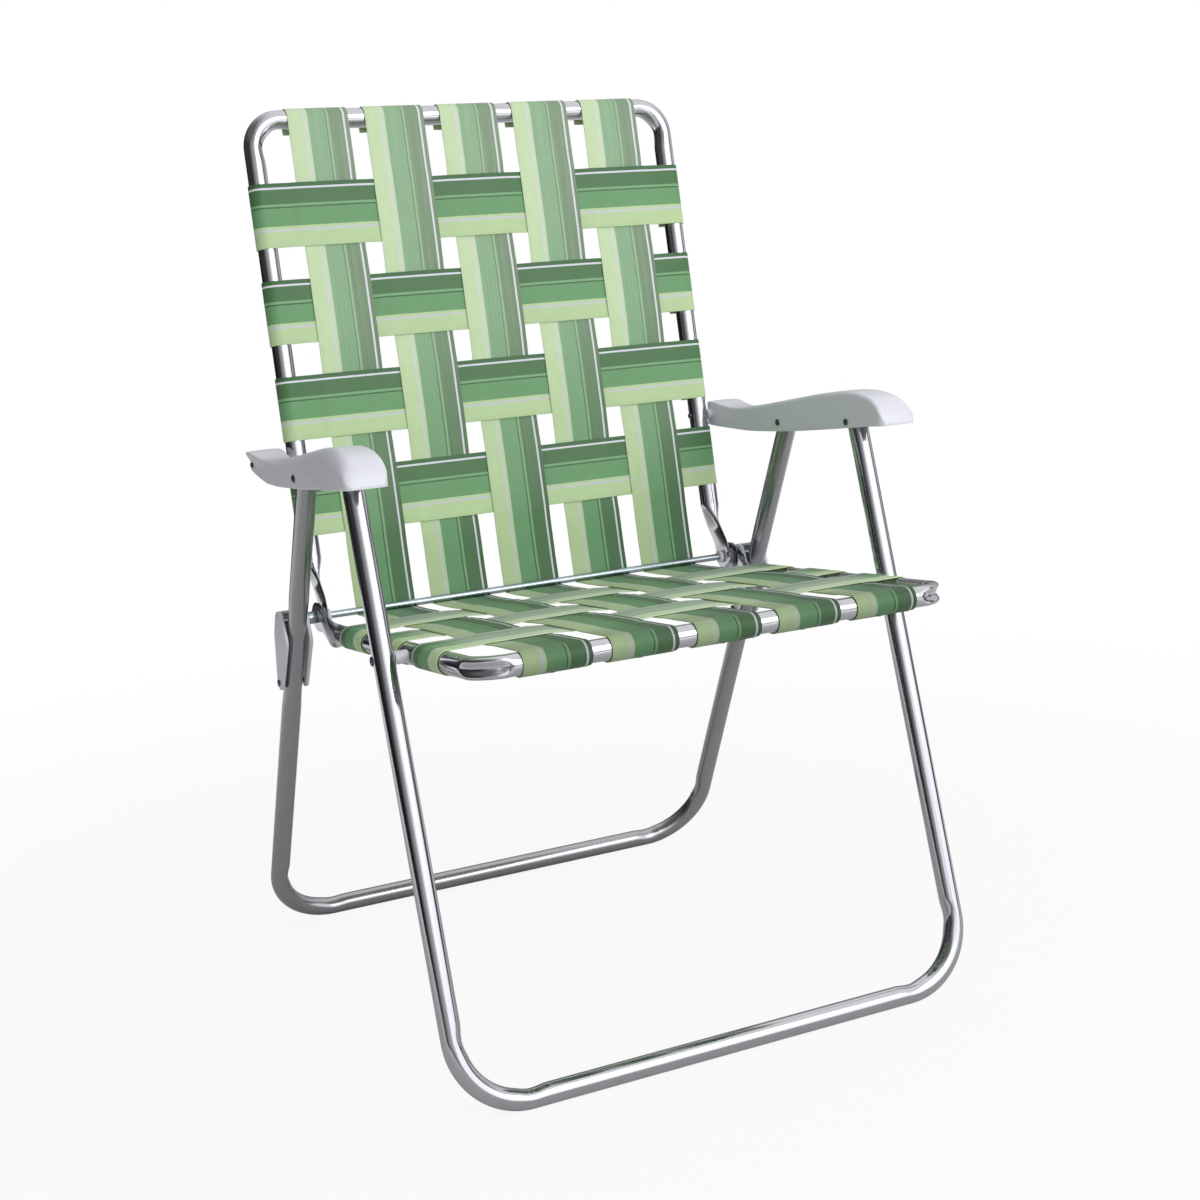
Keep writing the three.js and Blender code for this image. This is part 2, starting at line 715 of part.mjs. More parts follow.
function row(name, along, overOdd) {
  const crossings = strapPlaces().flatMap((x, index) => crossing(x, rowOver(overOdd, index)));
  const leftWrap = wrap(-LAP_HALF_WIDTH, -1).reverse();
  const route = [...leftWrap, ...crossings, ...wrap(LAP_HALF_WIDTH, 1)];
  const geometry = band(route, acrossPlace, ALONG.clone().negate());
  geometry.translate(0, along, 0);
  return piece(name, geometry, "web");
}

// Rows as seen from the rail: the nearest to the rail comes first
function seatRows() {
  return rowPlaces(SEAT_FIRST_ROW, SEAT_ROW_PITCH, SEAT_ROW_COUNT).map((along, index) => {
    return { along, overOdd: index % 2 === 0 };
  });
}

function backRows() {
  return rowPlaces(BACK_FIRST_ROW, BACK_ROW_PITCH, BACK_ROW_COUNT)
    .reverse()
    .map((fromRod, index) => {
      return { along: BACK_LENGTH - fromRod, overOdd: index % 2 === 0 };
    });
}

function webbing(prefix, plane, rows, rodAlong) {
  const straps = strapPlaces().map((x, index) => {
    return strap(`${prefix}_strap_${index + 1}`, plane, rows, rodAlong, index, x);
  });
  const bands = rows.map(({ along, overOdd }, index) => {
    return row(`${prefix}_row_${index + 1}`, along, overOdd);
  });
  return [...straps, ...bands];
}

// Hinge rod and the pieces threaded on it

function rodPieces() {
  const parts = [piece("hinge_rod", bar(-ROD_END, ROD_END, ROD_RADIUS, ROD, ROD_SIDES), "zinc")];
  const bore = cutterRadius(ROD_RADIUS + GAP);
  for (const { side, name } of SIDES) {
    const collar = sleeve(
      COLLAR_OUTER - COLLAR_LENGTH,
      COLLAR_OUTER,
      bore,
      COLLAR_DIAMETER / 2,
      side,
    );
    const washer = sleeve(WASHER_INNER, WASHER_OUTER, bore, WASHER_DIAMETER / 2, side);
    const spacer = sleeve(
      SEAT_FLAT_OUTER + GAP,
      CLIP_INNER - GAP,
      bore,
      SPACER_DIAMETER / 2,
      side,
    );
    parts.push(placed(piece(`rod_collar_${name}`, collar, "plastic"), ROD));
    parts.push(placed(piece(`rod_washer_${name}`, washer, "plastic"), ROD));
    parts.push(placed(piece(`rod_spacer_${name}`, spacer, "zinc"), ROD));
  }
  return parts;
}

function placed(mesh, at) {
  mesh.position.set(0, at.x, at.y);
  return mesh;
}

// Lock clips: two flanges round the rear leg, joined behind it near the rod

function tangentAngle(reach, fromRadius, toRadius) {
  return Math.asin((fromRadius - toRadius) / reach);
}

const CURVE_STEPS = 4;

function arcPoints(centre, radius, from, to) {
  const steps = Math.max(2, Math.ceil((Math.abs(to - from) / RIGHT_ANGLE) * CURVE_STEPS));
  return Array.from({ length: steps + 1 }, (_, index) => {
    const angle = lerp(from, to, index / steps);
    const spoke = point(Math.cos(angle), Math.sin(angle)).multiplyScalar(radius);
    return centre.clone().add(spoke);
  });
}

// A plate whose outline lies in the side view, from one place across the chair to another
function plate(outline, from, to) {
  const shape = new THREE.Shape(outline);
  const geometry = new THREE.ExtrudeGeometry(shape, { depth: to - from, bevelEnabled: false });
  geometry.applyMatrix4(new THREE.Matrix4().makeBasis(ALONG, OFF, ACROSS));
  geometry.translate(from, 0, 0);
  return geometry;
}

// The outline of a belt round circles that are given anticlockwise as centre and radius
function belt(circles) {
  const count = circles.length;
  const leaves = circles.map(([centre, radius], index) => {
    const [next, nextRadius] = circles[(index + 1) % count];
    const reach = next.clone().sub(centre);
    return reach.angle() - RIGHT_ANGLE + tangentAngle(reach.length(), radius, nextRadius);
  });
  return circles.flatMap(([centre, radius], index) => {
    const from = leaves[(index + count - 1) % count];
    const turn = THREE.MathUtils.euclideanModulo(leaves[index] - from, 2 * Math.PI);
    return arcPoints(centre, radius, from, from + turn);
  });
}

// Outlines about the rod's axis
function clipOutlines() {
  const rod = point(0, 0);
  const end = CLIP_PIVOT.clone().sub(ROD);
  const flange = belt([
    [rod, CLIP_BOSS_RADIUS],
    [point(-CLIP_FRONT_SHOULDER, -CLIP_SHOULDER_DROP), CLIP_SHOULDER_RADIUS],
    [end, CLIP_END_RADIUS],
    [point(CLIP_REAR_SHOULDER, -CLIP_SHOULDER_DROP), CLIP_SHOULDER_RADIUS],
  ]);
  const downward = end.angle();
  const slant = tangentAngle(end.length(), CLIP_BOSS_RADIUS, CLIP_END_RADIUS);
  const rear = downward + RIGHT_ANGLE - slant;
  const over = rear + CLIP_WEB_OVER_BOSS;
  const down = point(Math.cos(downward - slant), Math.sin(downward - slant));
  const outer = arcPoints(rod, CLIP_BOSS_RADIUS, over, rear);
  const inner = arcPoints(rod, CLIP_BOSS_RADIUS - CLIP_WEB, rear, over);
  const outerEnd = outer[outer.length - 1].clone().addScaledVector(down, CLIP_WEB_REACH);
  const innerEnd = inner[0].clone().addScaledVector(down, CLIP_WEB_REACH);
  const web = [...outer, outerEnd, innerEnd, ...inner].reverse();
  return { flange, web };
}

function lockClip(side, name) {
  const { flange, web } = clipOutlines();
  const solid = solidOf(plate(flange, CLIP_INNER, CLIP_CHANNEL_INNER))
    .add(solidOf(plate(flange, CLIP_CHANNEL_OUTER, CLIP_OUTER)))
    .add(solidOf(plate(web, CLIP_CHANNEL_INNER - GAP, CLIP_CHANNEL_OUTER + GAP)));
  const bore = cutterRadius(ROD_RADIUS + GAP);
  const pin = cutterRadius(SHANK_RADIUS + GAP);
  const end = CLIP_PIVOT.clone().sub(ROD);
  const cut = solid
    .subtract(solidOf(bar(CLIP_INNER - GAP, ROD_END + GAP, bore, point(0, 0))))
    .subtract(solidOf(bar(CLIP_INNER - GAP, CLIP_OUTER + GAP, pin, end)));
  return placed(piece(`lock_clip_${name}`, onSide(geometryOf(cut), side), "plastic"), ROD);
}

// A piece made for the right side, or its mirror image
function onSide(geometry, side) {
  if (side > 0) {
    return geometry;
  }
  const mirrored = geometry.clone();
  mirrored.scale(-1, 1, 1);
  const index = mirrored.getIndex();
  for (let corner = 0; corner < index.count; corner += 3) {
    const first = index.getX(corner);
    index.setX(corner, index.getX(corner + 1));
    index.setX(corner + 1, first);
  }
  mirrored.computeVertexNormals();
  return mirrored;
}

// Armrests: a hollow moulding, open below, lofted from nose to rear end

// Along the arm from its nose, as shares of its length, with the top and bottom edges' drop below
// the crest as shares of the crest's height above the back pivot
const ARM_TOP_SHARES = [
  [0, 0.616],
  [0.0066, 0.495],
  [0.0197, 0.323],
  [0.042, 0.18],
  [0.0709, 0.085],
  [0.1129, 0.02],
  [0.17, 0],
  [0.2257, 0.038],
  [0.3491, 0.166],
  [0.5381, 0.424],
  [0.7559, 0.707],
  [0.83, 0.749],
  [0.9396, 0.705],
  [0.98, 0.737],
  [1, 0.848],
];
const ARM_BOTTOM_SHARES = [
  [0, 0.677],
  [0.0066, 0.679],
  [0.0197, 0.687],
  [0.042, 0.701],
  [0.0709, 0.727],
  [0.1129, 0.768],
  [0.17, 0.824],
  [0.2257, 0.881],
  [0.3491, 1.002],
  [0.5381, 1.162],
  [0.7559, 1.289],
  [0.83, 1.299],
  [0.9396, 1.246],
  [0.98, 1.182],
  [1, 1.101],
];

// The arch that is cut in the skirt round the rear pivot, as the same kinds of shares
const ARM_ARCH_SHARES = [
  [0.2375, 1.4],
  [0.2389, 0.859],
  [0.2546, 0.798],
  [0.2756, 0.733],
  [0.3008, 0.691],
  [0.3386, 0.657],
  [0.3832, 0.644],
  [0.4803, 0.687],
  [0.585, 0.79],
  [0.585, 1.4],
];
const ARM_FLARE_FROM_SHARE = 0.034;
const ARM_FLARE_TO_SHARE = 0.6;
const ARM_POCKET_END_SHARE = 0.38;
const EDGE_ANGLE_SHARES = [0, 0.5, 1];

const ARM_REAR_Y = BACK_PIVOT.x + ARM_REAR_PAST_PIVOT;
const ARM_NOSE_Y = ARM_REAR_Y - ARM_LENGTH;
const ARM_TOP_Z = BACK_PIVOT.y + ARM_CREST;
const ARM_FLOOR = ARM_TOP_Z - ARM_DEPTH_LIMIT;

// Height of the armrest's top or bottom edge at a share of its length
function armEdge(shares, share) {
  const after = shares.findIndex(([at]) => at >= share);
  const [a, dropA] = shares[Math.max(0, after - 1)];
  const [b, dropB] = shares[Math.max(1, after)];
  const drop = lerp(dropA, dropB, (share - a) / (b - a));
  return ARM_TOP_Z - drop * ARM_CREST;
}

// How far the skirt stands out past the channel
function armFlare(share) {
  return ARM_FLARE * (1 - smoothstep(share, ARM_FLARE_FROM_SHARE, ARM_FLARE_TO_SHARE));
}

// How far the nose's rounded corners draw the sides in
function noseDraw(share) {
  const short = Math.max(0, 1 - (share * ARM_LENGTH) / ARM_NOSE_RADIUS);
  return ARM_NOSE_RADIUS * (1 - Math.sqrt(1 - short ** 2));
}

// A ring of points at a share of the arm: level below, upright sides and a top with round edges
function armRing(share, inner, outer, bottom, top) {
  const y = ARM_NOSE_Y + share * ARM_LENGTH;
  const radius = Math.min(ARM_EDGE, top - bottom, (outer - inner) / 2);
  const spokes = EDGE_ANGLE_SHARES.map((part) => {
    const angle = part * RIGHT_ANGLE;
    return [radius * (1 - Math.cos(angle)), top - radius * (1 - Math.sin(angle))];
  });
  const far = spokes.map(([draw, z]) => [outer - draw, y, z]);
  const near = spokes.map(([draw, z]) => [inner + draw, y, z]).reverse();
  return [[inner, y, bottom], [outer, y, bottom], ...far, ...near];
}

function armSkinRing(share) {
  const draw = noseDraw(share);
  const bottom = armEdge(ARM_BOTTOM_SHARES, share);
  const top = armEdge(ARM_TOP_SHARES, share);
  return armRing(share, ARM_INNER + draw, ARM_OUTER + armFlare(share) - draw, bottom, top);
}

// The channel that holds the legs
function armChannelRing(share) {
  const inner = ARM_INNER + noseDraw(share) + ARM_WALL;
  const top = armEdge(ARM_TOP_SHARES, share) - ARM_WALL;
  return armRing(share, inner, ARM_OUTER - ARM_WALL, ARM_FLOOR, top);
}

// The pocket between the channel and the skirt
function armPocketRing(share) {
  const outer = ARM_OUTER + armFlare(share) - noseDraw(share) - ARM_WALL;
  const top = armEdge(ARM_TOP_SHARES, share) - 2 * ARM_WALL;
  return armRing(share, ARM_OUTER, outer, ARM_FLOOR, top);
}

// The shares of the table between two ends, with both ends
function armShares(from, to) {
  const shares = ARM_TOP_SHARES.map(([share]) => share);
  return [from, ...shares.filter((share) => share > from && share < to), to];
}

// A closed skin over rings of equal counts
function loft(rings) {
  const count = rings[0].length;
  const index = [];
  for (let ring = 0; ring < rings.length - 1; ring += 1) {
    for (let at = 0; at < count; at += 1) {
      const next = (at + 1) % count;
      const a = ring * count + at;
      const b = ring * count + next;
      index.push(a, a + count, b, b, a + count, b + count);
    }
  }
  const last = (rings.length - 1) * count;
  for (let at = 1; at < count - 1; at += 1) {
    index.push(0, at, at + 1);
    index.push(last, last + at + 1, last + at);
  }
  const geometry = new THREE.BufferGeometry();
  const positions = new Float32Array(rings.flat(2));
  geometry.setAttribute("position", new THREE.BufferAttribute(positions, 3));
  geometry.setIndex(index);
  return geometry;
}

function armrest(side, name) {
  const noseShare = ARM_NOSE_WALL / ARM_LENGTH;
  const rearShare = 1 - ARM_WALL / ARM_LENGTH;
  const arch = ARM_ARCH_SHARES.map(([share, drop]) => {
    return point(ARM_NOSE_Y + share * ARM_LENGTH, ARM_TOP_Z - drop * ARM_CREST);
  });
  const shell = solidOf(loft(armShares(0, 1).map(armSkinRing)))
    .subtract(solidOf(loft(armShares(noseShare, rearShare).map(armChannelRing))))
    .subtract(solidOf(loft(armShares(noseShare, ARM_POCKET_END_SHARE).map(armPocketRing))))
    .subtract(solidOf(plate(arch, ARM_OUTER, ARM_OUTER + ARM_FLARE + OVERRUN)));
  const moulding = onSide(geometryOf(shell), side);
  const from = ARM_INNER - GAP;
  const to = ARM_OUTER + GAP;
  const holes = [FRONT_PIVOT, REAR_PIVOT, BACK_PIVOT].map((at) => {
    const hole = { from, to, radius: SHANK_RADIUS + GAP, at };
    return bothSides(hole)[side > 0 ? 1 : 0];
  });
  return piece(`armrest_${name}`, drilled(moulding, holes), "plastic");
}

// Pivot fasteners

const SIDES = [
  { side: -1, name: "left" },
  { side: 1, name: "right" },
];

function armRivet(name, at, side) {
  const outline = headedPin({
    inner: ARM_INNER - GAP,
    outer: ARM_OUTER + GAP,
    shank: SHANK_RADIUS,
    head: RIVET_RADIUS,
    height: RIVET_HEIGHT,
    innerHead: RIVET_RADIUS,
    innerHeight: RIVET_HEIGHT,
  });
  return placed(piece(name, turned(outline, side), "zinc"), at);
}

function backPivot(side, name) {
  const screw = headedPin({
    inner: LAP_TUBE_INNER - GAP,
    outer: ARM_OUTER + GAP,
    shank: SHANK_RADIUS,
    head: HEAD_RADIUS,
    height: HEAD_HEIGHT,
    innerHead: RIVET_RADIUS,
    innerHeight: RIVET_HEIGHT,
  });
  const bore = cutterRadius(SHANK_RADIUS + GAP);
  const spacer = sleeve(LAP_TUBE_OUTER + GAP, ARM_INNER - GAP, bore, ARM_SPACER_RADIUS, side);
  return [
    placed(piece(`back_pivot_screw_${name}`, turned(screw, side), "zinc"), BACK_PIVOT),
    placed(piece(`back_pivot_spacer_${name}`, spacer, "plastic"), BACK_PIVOT),
  ];
}

function seatPivot(side, name) {
  const capInner = LAP_TUBE_INNER - GAP - CAP_LENGTH;
  const screw = headedPin({
    inner: capInner,
    outer: LEG_TUBE_OUTER + GAP,
    shank: SHANK_RADIUS,
    head: HEAD_RADIUS,
    height: HEAD_HEIGHT,
  });
  const bore = cutterRadius(SHANK_RADIUS + GAP);
  const spacer = sleeve(
    LAP_TUBE_OUTER + GAP,
    LEG_TUBE_INNER - GAP,
    bore,
    SEAT_SPACER_RADIUS,
    side,
  );
  const cap = sleeve(capInner, capInner + CAP_LENGTH, bore, CAP_RADIUS, side);
  return [
    placed(piece(`seat_pivot_screw_${name}`, turned(screw, side), "zinc"), SEAT_PIVOT),
    placed(piece(`seat_pivot_spacer_${name}`, spacer, "plastic"), SEAT_PIVOT),
    placed(piece(`seat_pivot_cap_${name}`, cap, "plastic"), SEAT_PIVOT),
  ];
}

// One rivet in each flange of a clip; neither reaches into the channel
function clipRivets(side, name) {
  const outer = headedPin({
    inner: CLIP_CHANNEL_OUTER,
    outer: CLIP_OUTER + GAP,
    shank: SHANK_RADIUS,
    head: CLIP_RIVET_RADIUS,
    height: RIVET_HEIGHT,
  });
  const inner = [
    [CLIP_INNER - GAP - RIVET_HEIGHT, 0],
    [CLIP_INNER - GAP - RIVET_HEIGHT, CLIP_RIVET_RADIUS * DOME_SHARE],
    [CLIP_INNER - GAP - RIVET_HEIGHT * DOME_RIM_SHARE, CLIP_RIVET_RADIUS],
    [CLIP_INNER - GAP, CLIP_RIVET_RADIUS],
    [CLIP_INNER - GAP, SHANK_RADIUS],
    [CLIP_CHANNEL_INNER, SHANK_RADIUS],
    [CLIP_CHANNEL_INNER, 0],
  ];
  return [
    placed(piece(`clip_rivet_outer_${name}`, turned(outer, side), "zinc"), CLIP_PIVOT),
    placed(piece(`clip_rivet_inner_${name}`, turned(inner, side), "zinc"), CLIP_PIVOT),
  ];
}

// The chair

const chair = new THREE.Group();

back.group.add(backFrame(), ...webbing("back", back, backRows(), BACK_LENGTH));
seat.group.add(seatFrame(), ...webbing("seat", seat, seatRows(), SEAT_ROD_ALONG));
frontLegs.group.add(frontLegFrame());
rearLegs.group.add(rearLegFrame());
chair.add(back.group, seat.group, frontLegs.group, rearLegs.group);
chair.add(...rodPieces());

for (const { side, name } of SIDES) {
  chair.add(armrest(side, name));
  chair.add(armRivet(`front_pivot_rivet_${name}`, FRONT_PIVOT, side));
  chair.add(armRivet(`rear_pivot_rivet_${name}`, REAR_PIVOT, side));
  chair.add(...backPivot(side, name));
  chair.add(...seatPivot(side, name));
  chair.add(lockClip(side, name));
  chair.add(...clipRivets(side, name));
}

// The origin is the middle of the box's bottom
chair.updateMatrixWorld(true);
const box = new THREE.Box3().setFromObject(chair, true);
const middle = box.getCenter(new THREE.Vector3());
chair.position.set(-middle.x, -middle.y, -box.min.z);

export default chair;
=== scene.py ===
import json
from collections import namedtuple

import bpy
import numpy as np
from bpy.props import FloatProperty, FloatVectorProperty, IntProperty, PointerProperty
from mathutils import Matrix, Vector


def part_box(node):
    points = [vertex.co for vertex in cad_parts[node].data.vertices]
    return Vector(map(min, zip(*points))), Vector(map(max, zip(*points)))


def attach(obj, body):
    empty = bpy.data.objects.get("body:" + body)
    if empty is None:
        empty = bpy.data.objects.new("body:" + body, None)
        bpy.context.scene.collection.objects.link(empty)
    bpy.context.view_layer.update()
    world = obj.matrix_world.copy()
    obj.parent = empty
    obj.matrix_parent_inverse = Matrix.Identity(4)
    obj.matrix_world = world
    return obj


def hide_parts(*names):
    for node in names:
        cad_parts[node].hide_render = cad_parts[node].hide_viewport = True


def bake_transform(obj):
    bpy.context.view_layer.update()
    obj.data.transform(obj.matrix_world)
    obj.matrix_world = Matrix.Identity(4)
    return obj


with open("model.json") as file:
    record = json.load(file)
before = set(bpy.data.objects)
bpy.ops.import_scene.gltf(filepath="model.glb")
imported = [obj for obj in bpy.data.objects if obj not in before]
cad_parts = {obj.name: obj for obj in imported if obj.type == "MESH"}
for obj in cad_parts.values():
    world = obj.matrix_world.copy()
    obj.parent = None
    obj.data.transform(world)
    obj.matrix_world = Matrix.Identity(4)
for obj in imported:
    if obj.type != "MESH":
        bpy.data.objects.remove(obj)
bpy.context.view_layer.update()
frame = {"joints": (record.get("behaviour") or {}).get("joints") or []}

# Folding webbed lawn chair, dressed over the packed frame.
# Metres, +Z up. The sitter faces -Y. Left is -X, as seen from the front.
# A place in the side view is a pair (y, z).

bl_info = {
    "name": "Folding webbed lawn chair",
    "version": (1, 0, 0),
    "blender": (4, 5, 0),
    "location": "3D View > Sidebar > Lawn chair",
    "description": "Polished tubes, moulded arms and clips, woven web bands on the packed chair",
    "category": "Add Mesh",
}

SIDES = (("left", -1.0), ("right", 1.0))


# Sizes and colours


def metres(default, description):
    return FloatProperty(
        default=default, description=description, min=0.0, unit="LENGTH", precision=5
    )


def share(default, description):
    return FloatProperty(
        default=default, description=description, min=0.0, max=1.0, subtype="FACTOR"
    )


def colour(red, green, blue, description):
    """A colour written in sRGB from 0 to 255 and kept as a linear one."""
    level = np.array([red, green, blue]) / 255.0
    bright = ((level + 0.055) / 1.055) ** 2.4
    linear = np.where(level <= 0.04045, level / 12.92, bright).tolist()
    return FloatVectorProperty(
        default=linear, description=description, min=0.0, max=1.0, subtype="COLOR"
    )


class TubeSizes(bpy.types.PropertyGroup):
    """The four bent tube frames"""

    diameter: metres(0.0222, "Outside diameter of every tube")
    wall: metres(0.0013, "Wall thickness seen at the open ends")
    lap_half_width: metres(0.26, "Middle of the chair to a seat tube's axis")
    leg_half_width: metres(0.2975, "Middle of the chair to a leg tube's axis")
    rod_setback: metres(0.434, "Front floor rail's axis to the hinge rod, along Y")
    seat_overhang: metres(0.0184, "Seat's front rail ahead of the floor rail")
    seat_height: metres(0.4545, "Floor to the seat's front rail axis")
    back_length: metres(0.56, "Hinge rod to the back's top rail axis")
    front_bend: metres(0.072, "Radius of the front legs' floor bends")
    rear_bend: metres(0.074, "Radius of the rear legs' floor bends")
    seat_bend: metres(0.03, "Radius of the seat's front corners")
    back_bend: metres(0.032, "Radius of the back's top corners")
    crease: metres(0.0016, "How deep the inner wall creases at a bend's ends")
    dimple: share(0.44, "Depth pressed in the seat's front corners over radius")
    dimple_reach: metres(0.034, "Half the length of that dimple along the outer wall")
    flat_run: metres(0.066, "Length over which a tube's end is pressed flat")
    flat_width: metres(0.033, "Width of a flattened end")
    flat_thickness: metres(0.004, "Thickness of a flattened end")
    flat_slit: metres(0.0004, "Slit left between a flattened end's walls")
    seat_flat_shift: metres(0.008, "Seat's flats outside the back's flats")
    front_top: metres(0.014, "Front leg above its pivot")
    rear_top: metres(0.01, "Rear leg above its pivot")
    squeeze: metres(0.001, "How far each rear leg's sides are pinched at its clip")
    ring: IntProperty(default=44, description="Points round a tube", min=8)
    step: metres(0.003, "Distance between a tube's rings")


class WebSizes(bpy.types.PropertyGroup):
    """The woven web bands"""

    width: metres(0.072, "Width of a band")
    thickness: metres(0.0011, "Thickness of a band")
    pitch: metres(0.09204, "Middle of one strap to the next")
    seat_first: metres(0.11, "Seat's front rail to the first row")
    seat_pitch: metres(0.1115, "Middle of one seat row to the next")
    back_first: metres(0.127008, "Hinge rod to the lowest back row")
    back_pitch: metres(0.108192, "Middle of one back row to the next")
    height: metres(0.01205, "Tube's axis to the middle of a band wrapped on it")
    lift: metres(0.00085, "How far a band rises over or dips under a crossing")
    ease: metres(0.035, "Length over which a strap leaves the tubes' plane for the rod")
    play: metres(0.0002, "Gap between a strap and the rod")
    hinge: metres(0.014, "Distance from the rod over which a strap bends with it")
    tail: metres(0.0125, "Straight end of a band behind its tube")
    hem: metres(0.0105, "Part of the end folded back under the fastener")
    step: metres(0.003, "Distance between a band's stations")
    fastener: metres(0.0036, "Radius of a fastener's head")
    fastener_rise: metres(0.0009, "Height of that head")


class WebColours(bpy.types.PropertyGroup):
    """The stripes, from the light edge of a band to its dark edge"""

    light: colour(193, 219, 167, "Wide stripe at the light edge")
    pale: colour(206, 212, 212, "Thin line inside the light stripe")
    middle: colour(110, 161, 112, "Stripe in the middle")
    seam: colour(70, 110, 72, "Thin dark line beside the middle stripe")
    gleam: colour(128, 176, 126, "Thin bright line beside the dark one")
    dark: colour(80, 121, 80, "Wide stripe near the dark edge")
    white: colour(228, 229, 240, "Thin white line near the dark edge")
    edge: colour(66, 108, 66, "Narrow stripe at the dark edge")
    # Painted sheen: a pale colour mixed into the stripes' base colour in place of light that the
    # cloth catches
    haze: colour(214, 219, 206, "Pale sheen over the stripes")


class ArmSizes(bpy.types.PropertyGroup):
    """The moulded armrests"""

    length: metres(0.3751, "Nose to rear end")
    width: metres(0.0294, "Width of the channel across its outer faces")
    flare: metres(0.0158, "How far the skirt stands out past the channel at the nose")
    wall: metres(0.0022, "Thickness of the moulding")
    rear: metres(0.0085, "Rear end behind the back pivot")
    spread: metres(0.0046, "How far each side of the top stands out at the rear end")
    crest: metres(0.0495, "Highest point above the back pivot")
    edge: metres(0.014, "Width of the rounding along the top's outer edge")
    drop: metres(0.021, "Height of that rounding")
    inner_edge: metres(0.0042, "Size of the rounding along the top's inner edge")
    rear_edge: metres(0.0018, "Size of both roundings at the rear end")
    camber: metres(0.0006, "Rise of the top's middle over its edges")
    nose: metres(0.0085, "Radius of the nose's corners in plan")
    nose_wall: metres(0.0085, "Solid part of the nose")
    tail: metres(0.0016, "Radius of the rear end's corners in plan")
    lip: metres(0.0006, "Rounding of the rims")


class HardwareSizes(bpy.types.PropertyGroup):
    """Rod, clips, screws, rivets, spacers and caps"""

    rod: metres(0.008, "Hinge rod")
    rod_half: metres(0.311735, "Middle of the chair to the rod's end")
    rod_offset: metres(0.017563, "Rod's axis off the seat and back tubes' axes")
    collar: metres(0.015, "Collars inside the back's flats")
    washer: metres(0.02, "Washers between the flats")
    spacer: metres(0.014, "Spacers between the seat's flats and the clips")
    clip_boss: metres(0.0125, "Radius of a clip's end at the rod")
    clip_end: metres(0.0085, "Radius of a clip's lower end")
    clip_flange: metres(0.004, "Thickness of a clip's side")
    clip_web: metres(0.0026, "Thickness of the wall that joins a clip's sides")
    clip_reach: metres(0.026, "How far that wall reaches below the rod")
    clip_shoulder: metres(0.012, "Radius of a clip's two shoulders")
    clip_drop: metres(0.02, "Shoulders below the rod")
    clip_front: metres(0.0095, "Front shoulder ahead of the rod")
    clip_rear: metres(0.009, "Rear shoulder behind the rod")
    clip_edge: metres(0.0009, "Rounding of a clip's sides")
    clip_wall_edge: metres(0.0001, "Rounding of the wall's ends")
    clip_bite: metres(0.0006, "How far the wall runs into the sides")
    head: metres(0.005, "Radius of a screw's head")
    sunk: metres(0.0012, "How far the seat pivots' screws are drawn in")
    rivet: metres(0.0041, "Radius of a rivet's head")
    small: metres(0.0038, "Radius of a clip rivet's head")
    shank: metres(0.003, "Radius of every pin's shank")
    fillet: metres(0.0004, "Rounding of moulded and turned edges")


class FinishColours(bpy.types.PropertyGroup):
    """Metals and mouldings"""

    polished: colour(190, 191, 195, "Front legs, seat and back tubes")
    satin: colour(164, 164, 167, "Rear leg tubes")
    arm: colour(224, 225, 234, "Armrests")
    clip: colour(206, 207, 214, "Lock clips, collars, washers and spacers")
    zinc: colour(166, 178, 182, "Hinge rod and its spacers")
    screw: colour(92, 100, 108, "Screws and rivets")


class StageSizes(bpy.types.PropertyGroup):
    """Floor, lamps and camera"""

    floor: metres(4.4, "Side of the floor")
    world: share(0.5, "Light of the sky on the chair")
    slant: share(0.26, "How much brighter the sky is on the right than on the left")
    rise: share(0.5, "How much brighter the sky is overhead than at the horizon")
    studio: FloatProperty(default=1.8, description="Strength of the softboxes in reflections")
    key: FloatProperty(default=42.0, description="Key lamp", unit="POWER")
    fill: FloatProperty(default=6.0, description="Fill lamp", unit="POWER")


GROUPS = {
    "chair_tubes": TubeSizes,
    "chair_web": WebSizes,
    "chair_stripes": WebColours,
    "chair_arms": ArmSizes,
    "chair_hardware": HardwareSizes,
    "chair_finishes": FinishColours,
    "chair_stage": StageSizes,
}


# Places that come from the packed frame


def pivot(joint):
    """The side-view place of a joint's axis."""
    found = next(j for j in frame["joints"] if j["name"] == joint)
    return np.array(found["pos_m"][1:])


def centre(node):
    """The side-view middle of a node's box."""
    low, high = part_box(node)
    return np.array([low.y + high.y, low.z + high.z]) / 2


def across(node):
    """The lowest and highest distance of a node from the middle of the chair."""
    low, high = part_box(node)
    ends = sorted((abs(low.x), abs(high.x)))
    return ends[0], ends[1]


ROD = pivot("seat_fold")
BACK_PIVOT = pivot("arm_fold")
FRONT_PIVOT = pivot("front_leg_fold")
REAR_PIVOT = pivot("rear_leg_fold")
SEAT_PIVOT = ROD + FRONT_PIVOT - BACK_PIVOT
CLIP_PIVOT = centre("clip_rivet_outer_left")


class Plane:
    """A frame's own plane: x across, y along from its rail's axis, z off towards the sitter."""

    def __init__(self, rail, along, off_side=1.0):
        self.rail = np.asarray(rail, float)
        self.along = along / np.linalg.norm(along)
        self.off = off_side * np.array([-self.along[1], self.along[0]])
        self.across = float(self.along[0] * self.off[1] - self.along[1] * self.off[0])

    def place(self, points):
        """x times the plane's sign, and the rail plus y times along plus z times off."""
        view = self.rail + points[..., 1:2] * self.along + points[..., 2:3] * self.off
        return np.concatenate([self.across * points[..., :1], view], axis=-1)

    def turn(self, vectors):
        """The same for directions."""
        view = vectors[..., 1:2] * self.along + vectors[..., 2:3] * self.off
        return np.concatenate([self.across * vectors[..., :1], view], axis=-1)

    def local(self, at):
        reach = at - self.rail
        return np.array([reach @ self.along, reach @ self.off])


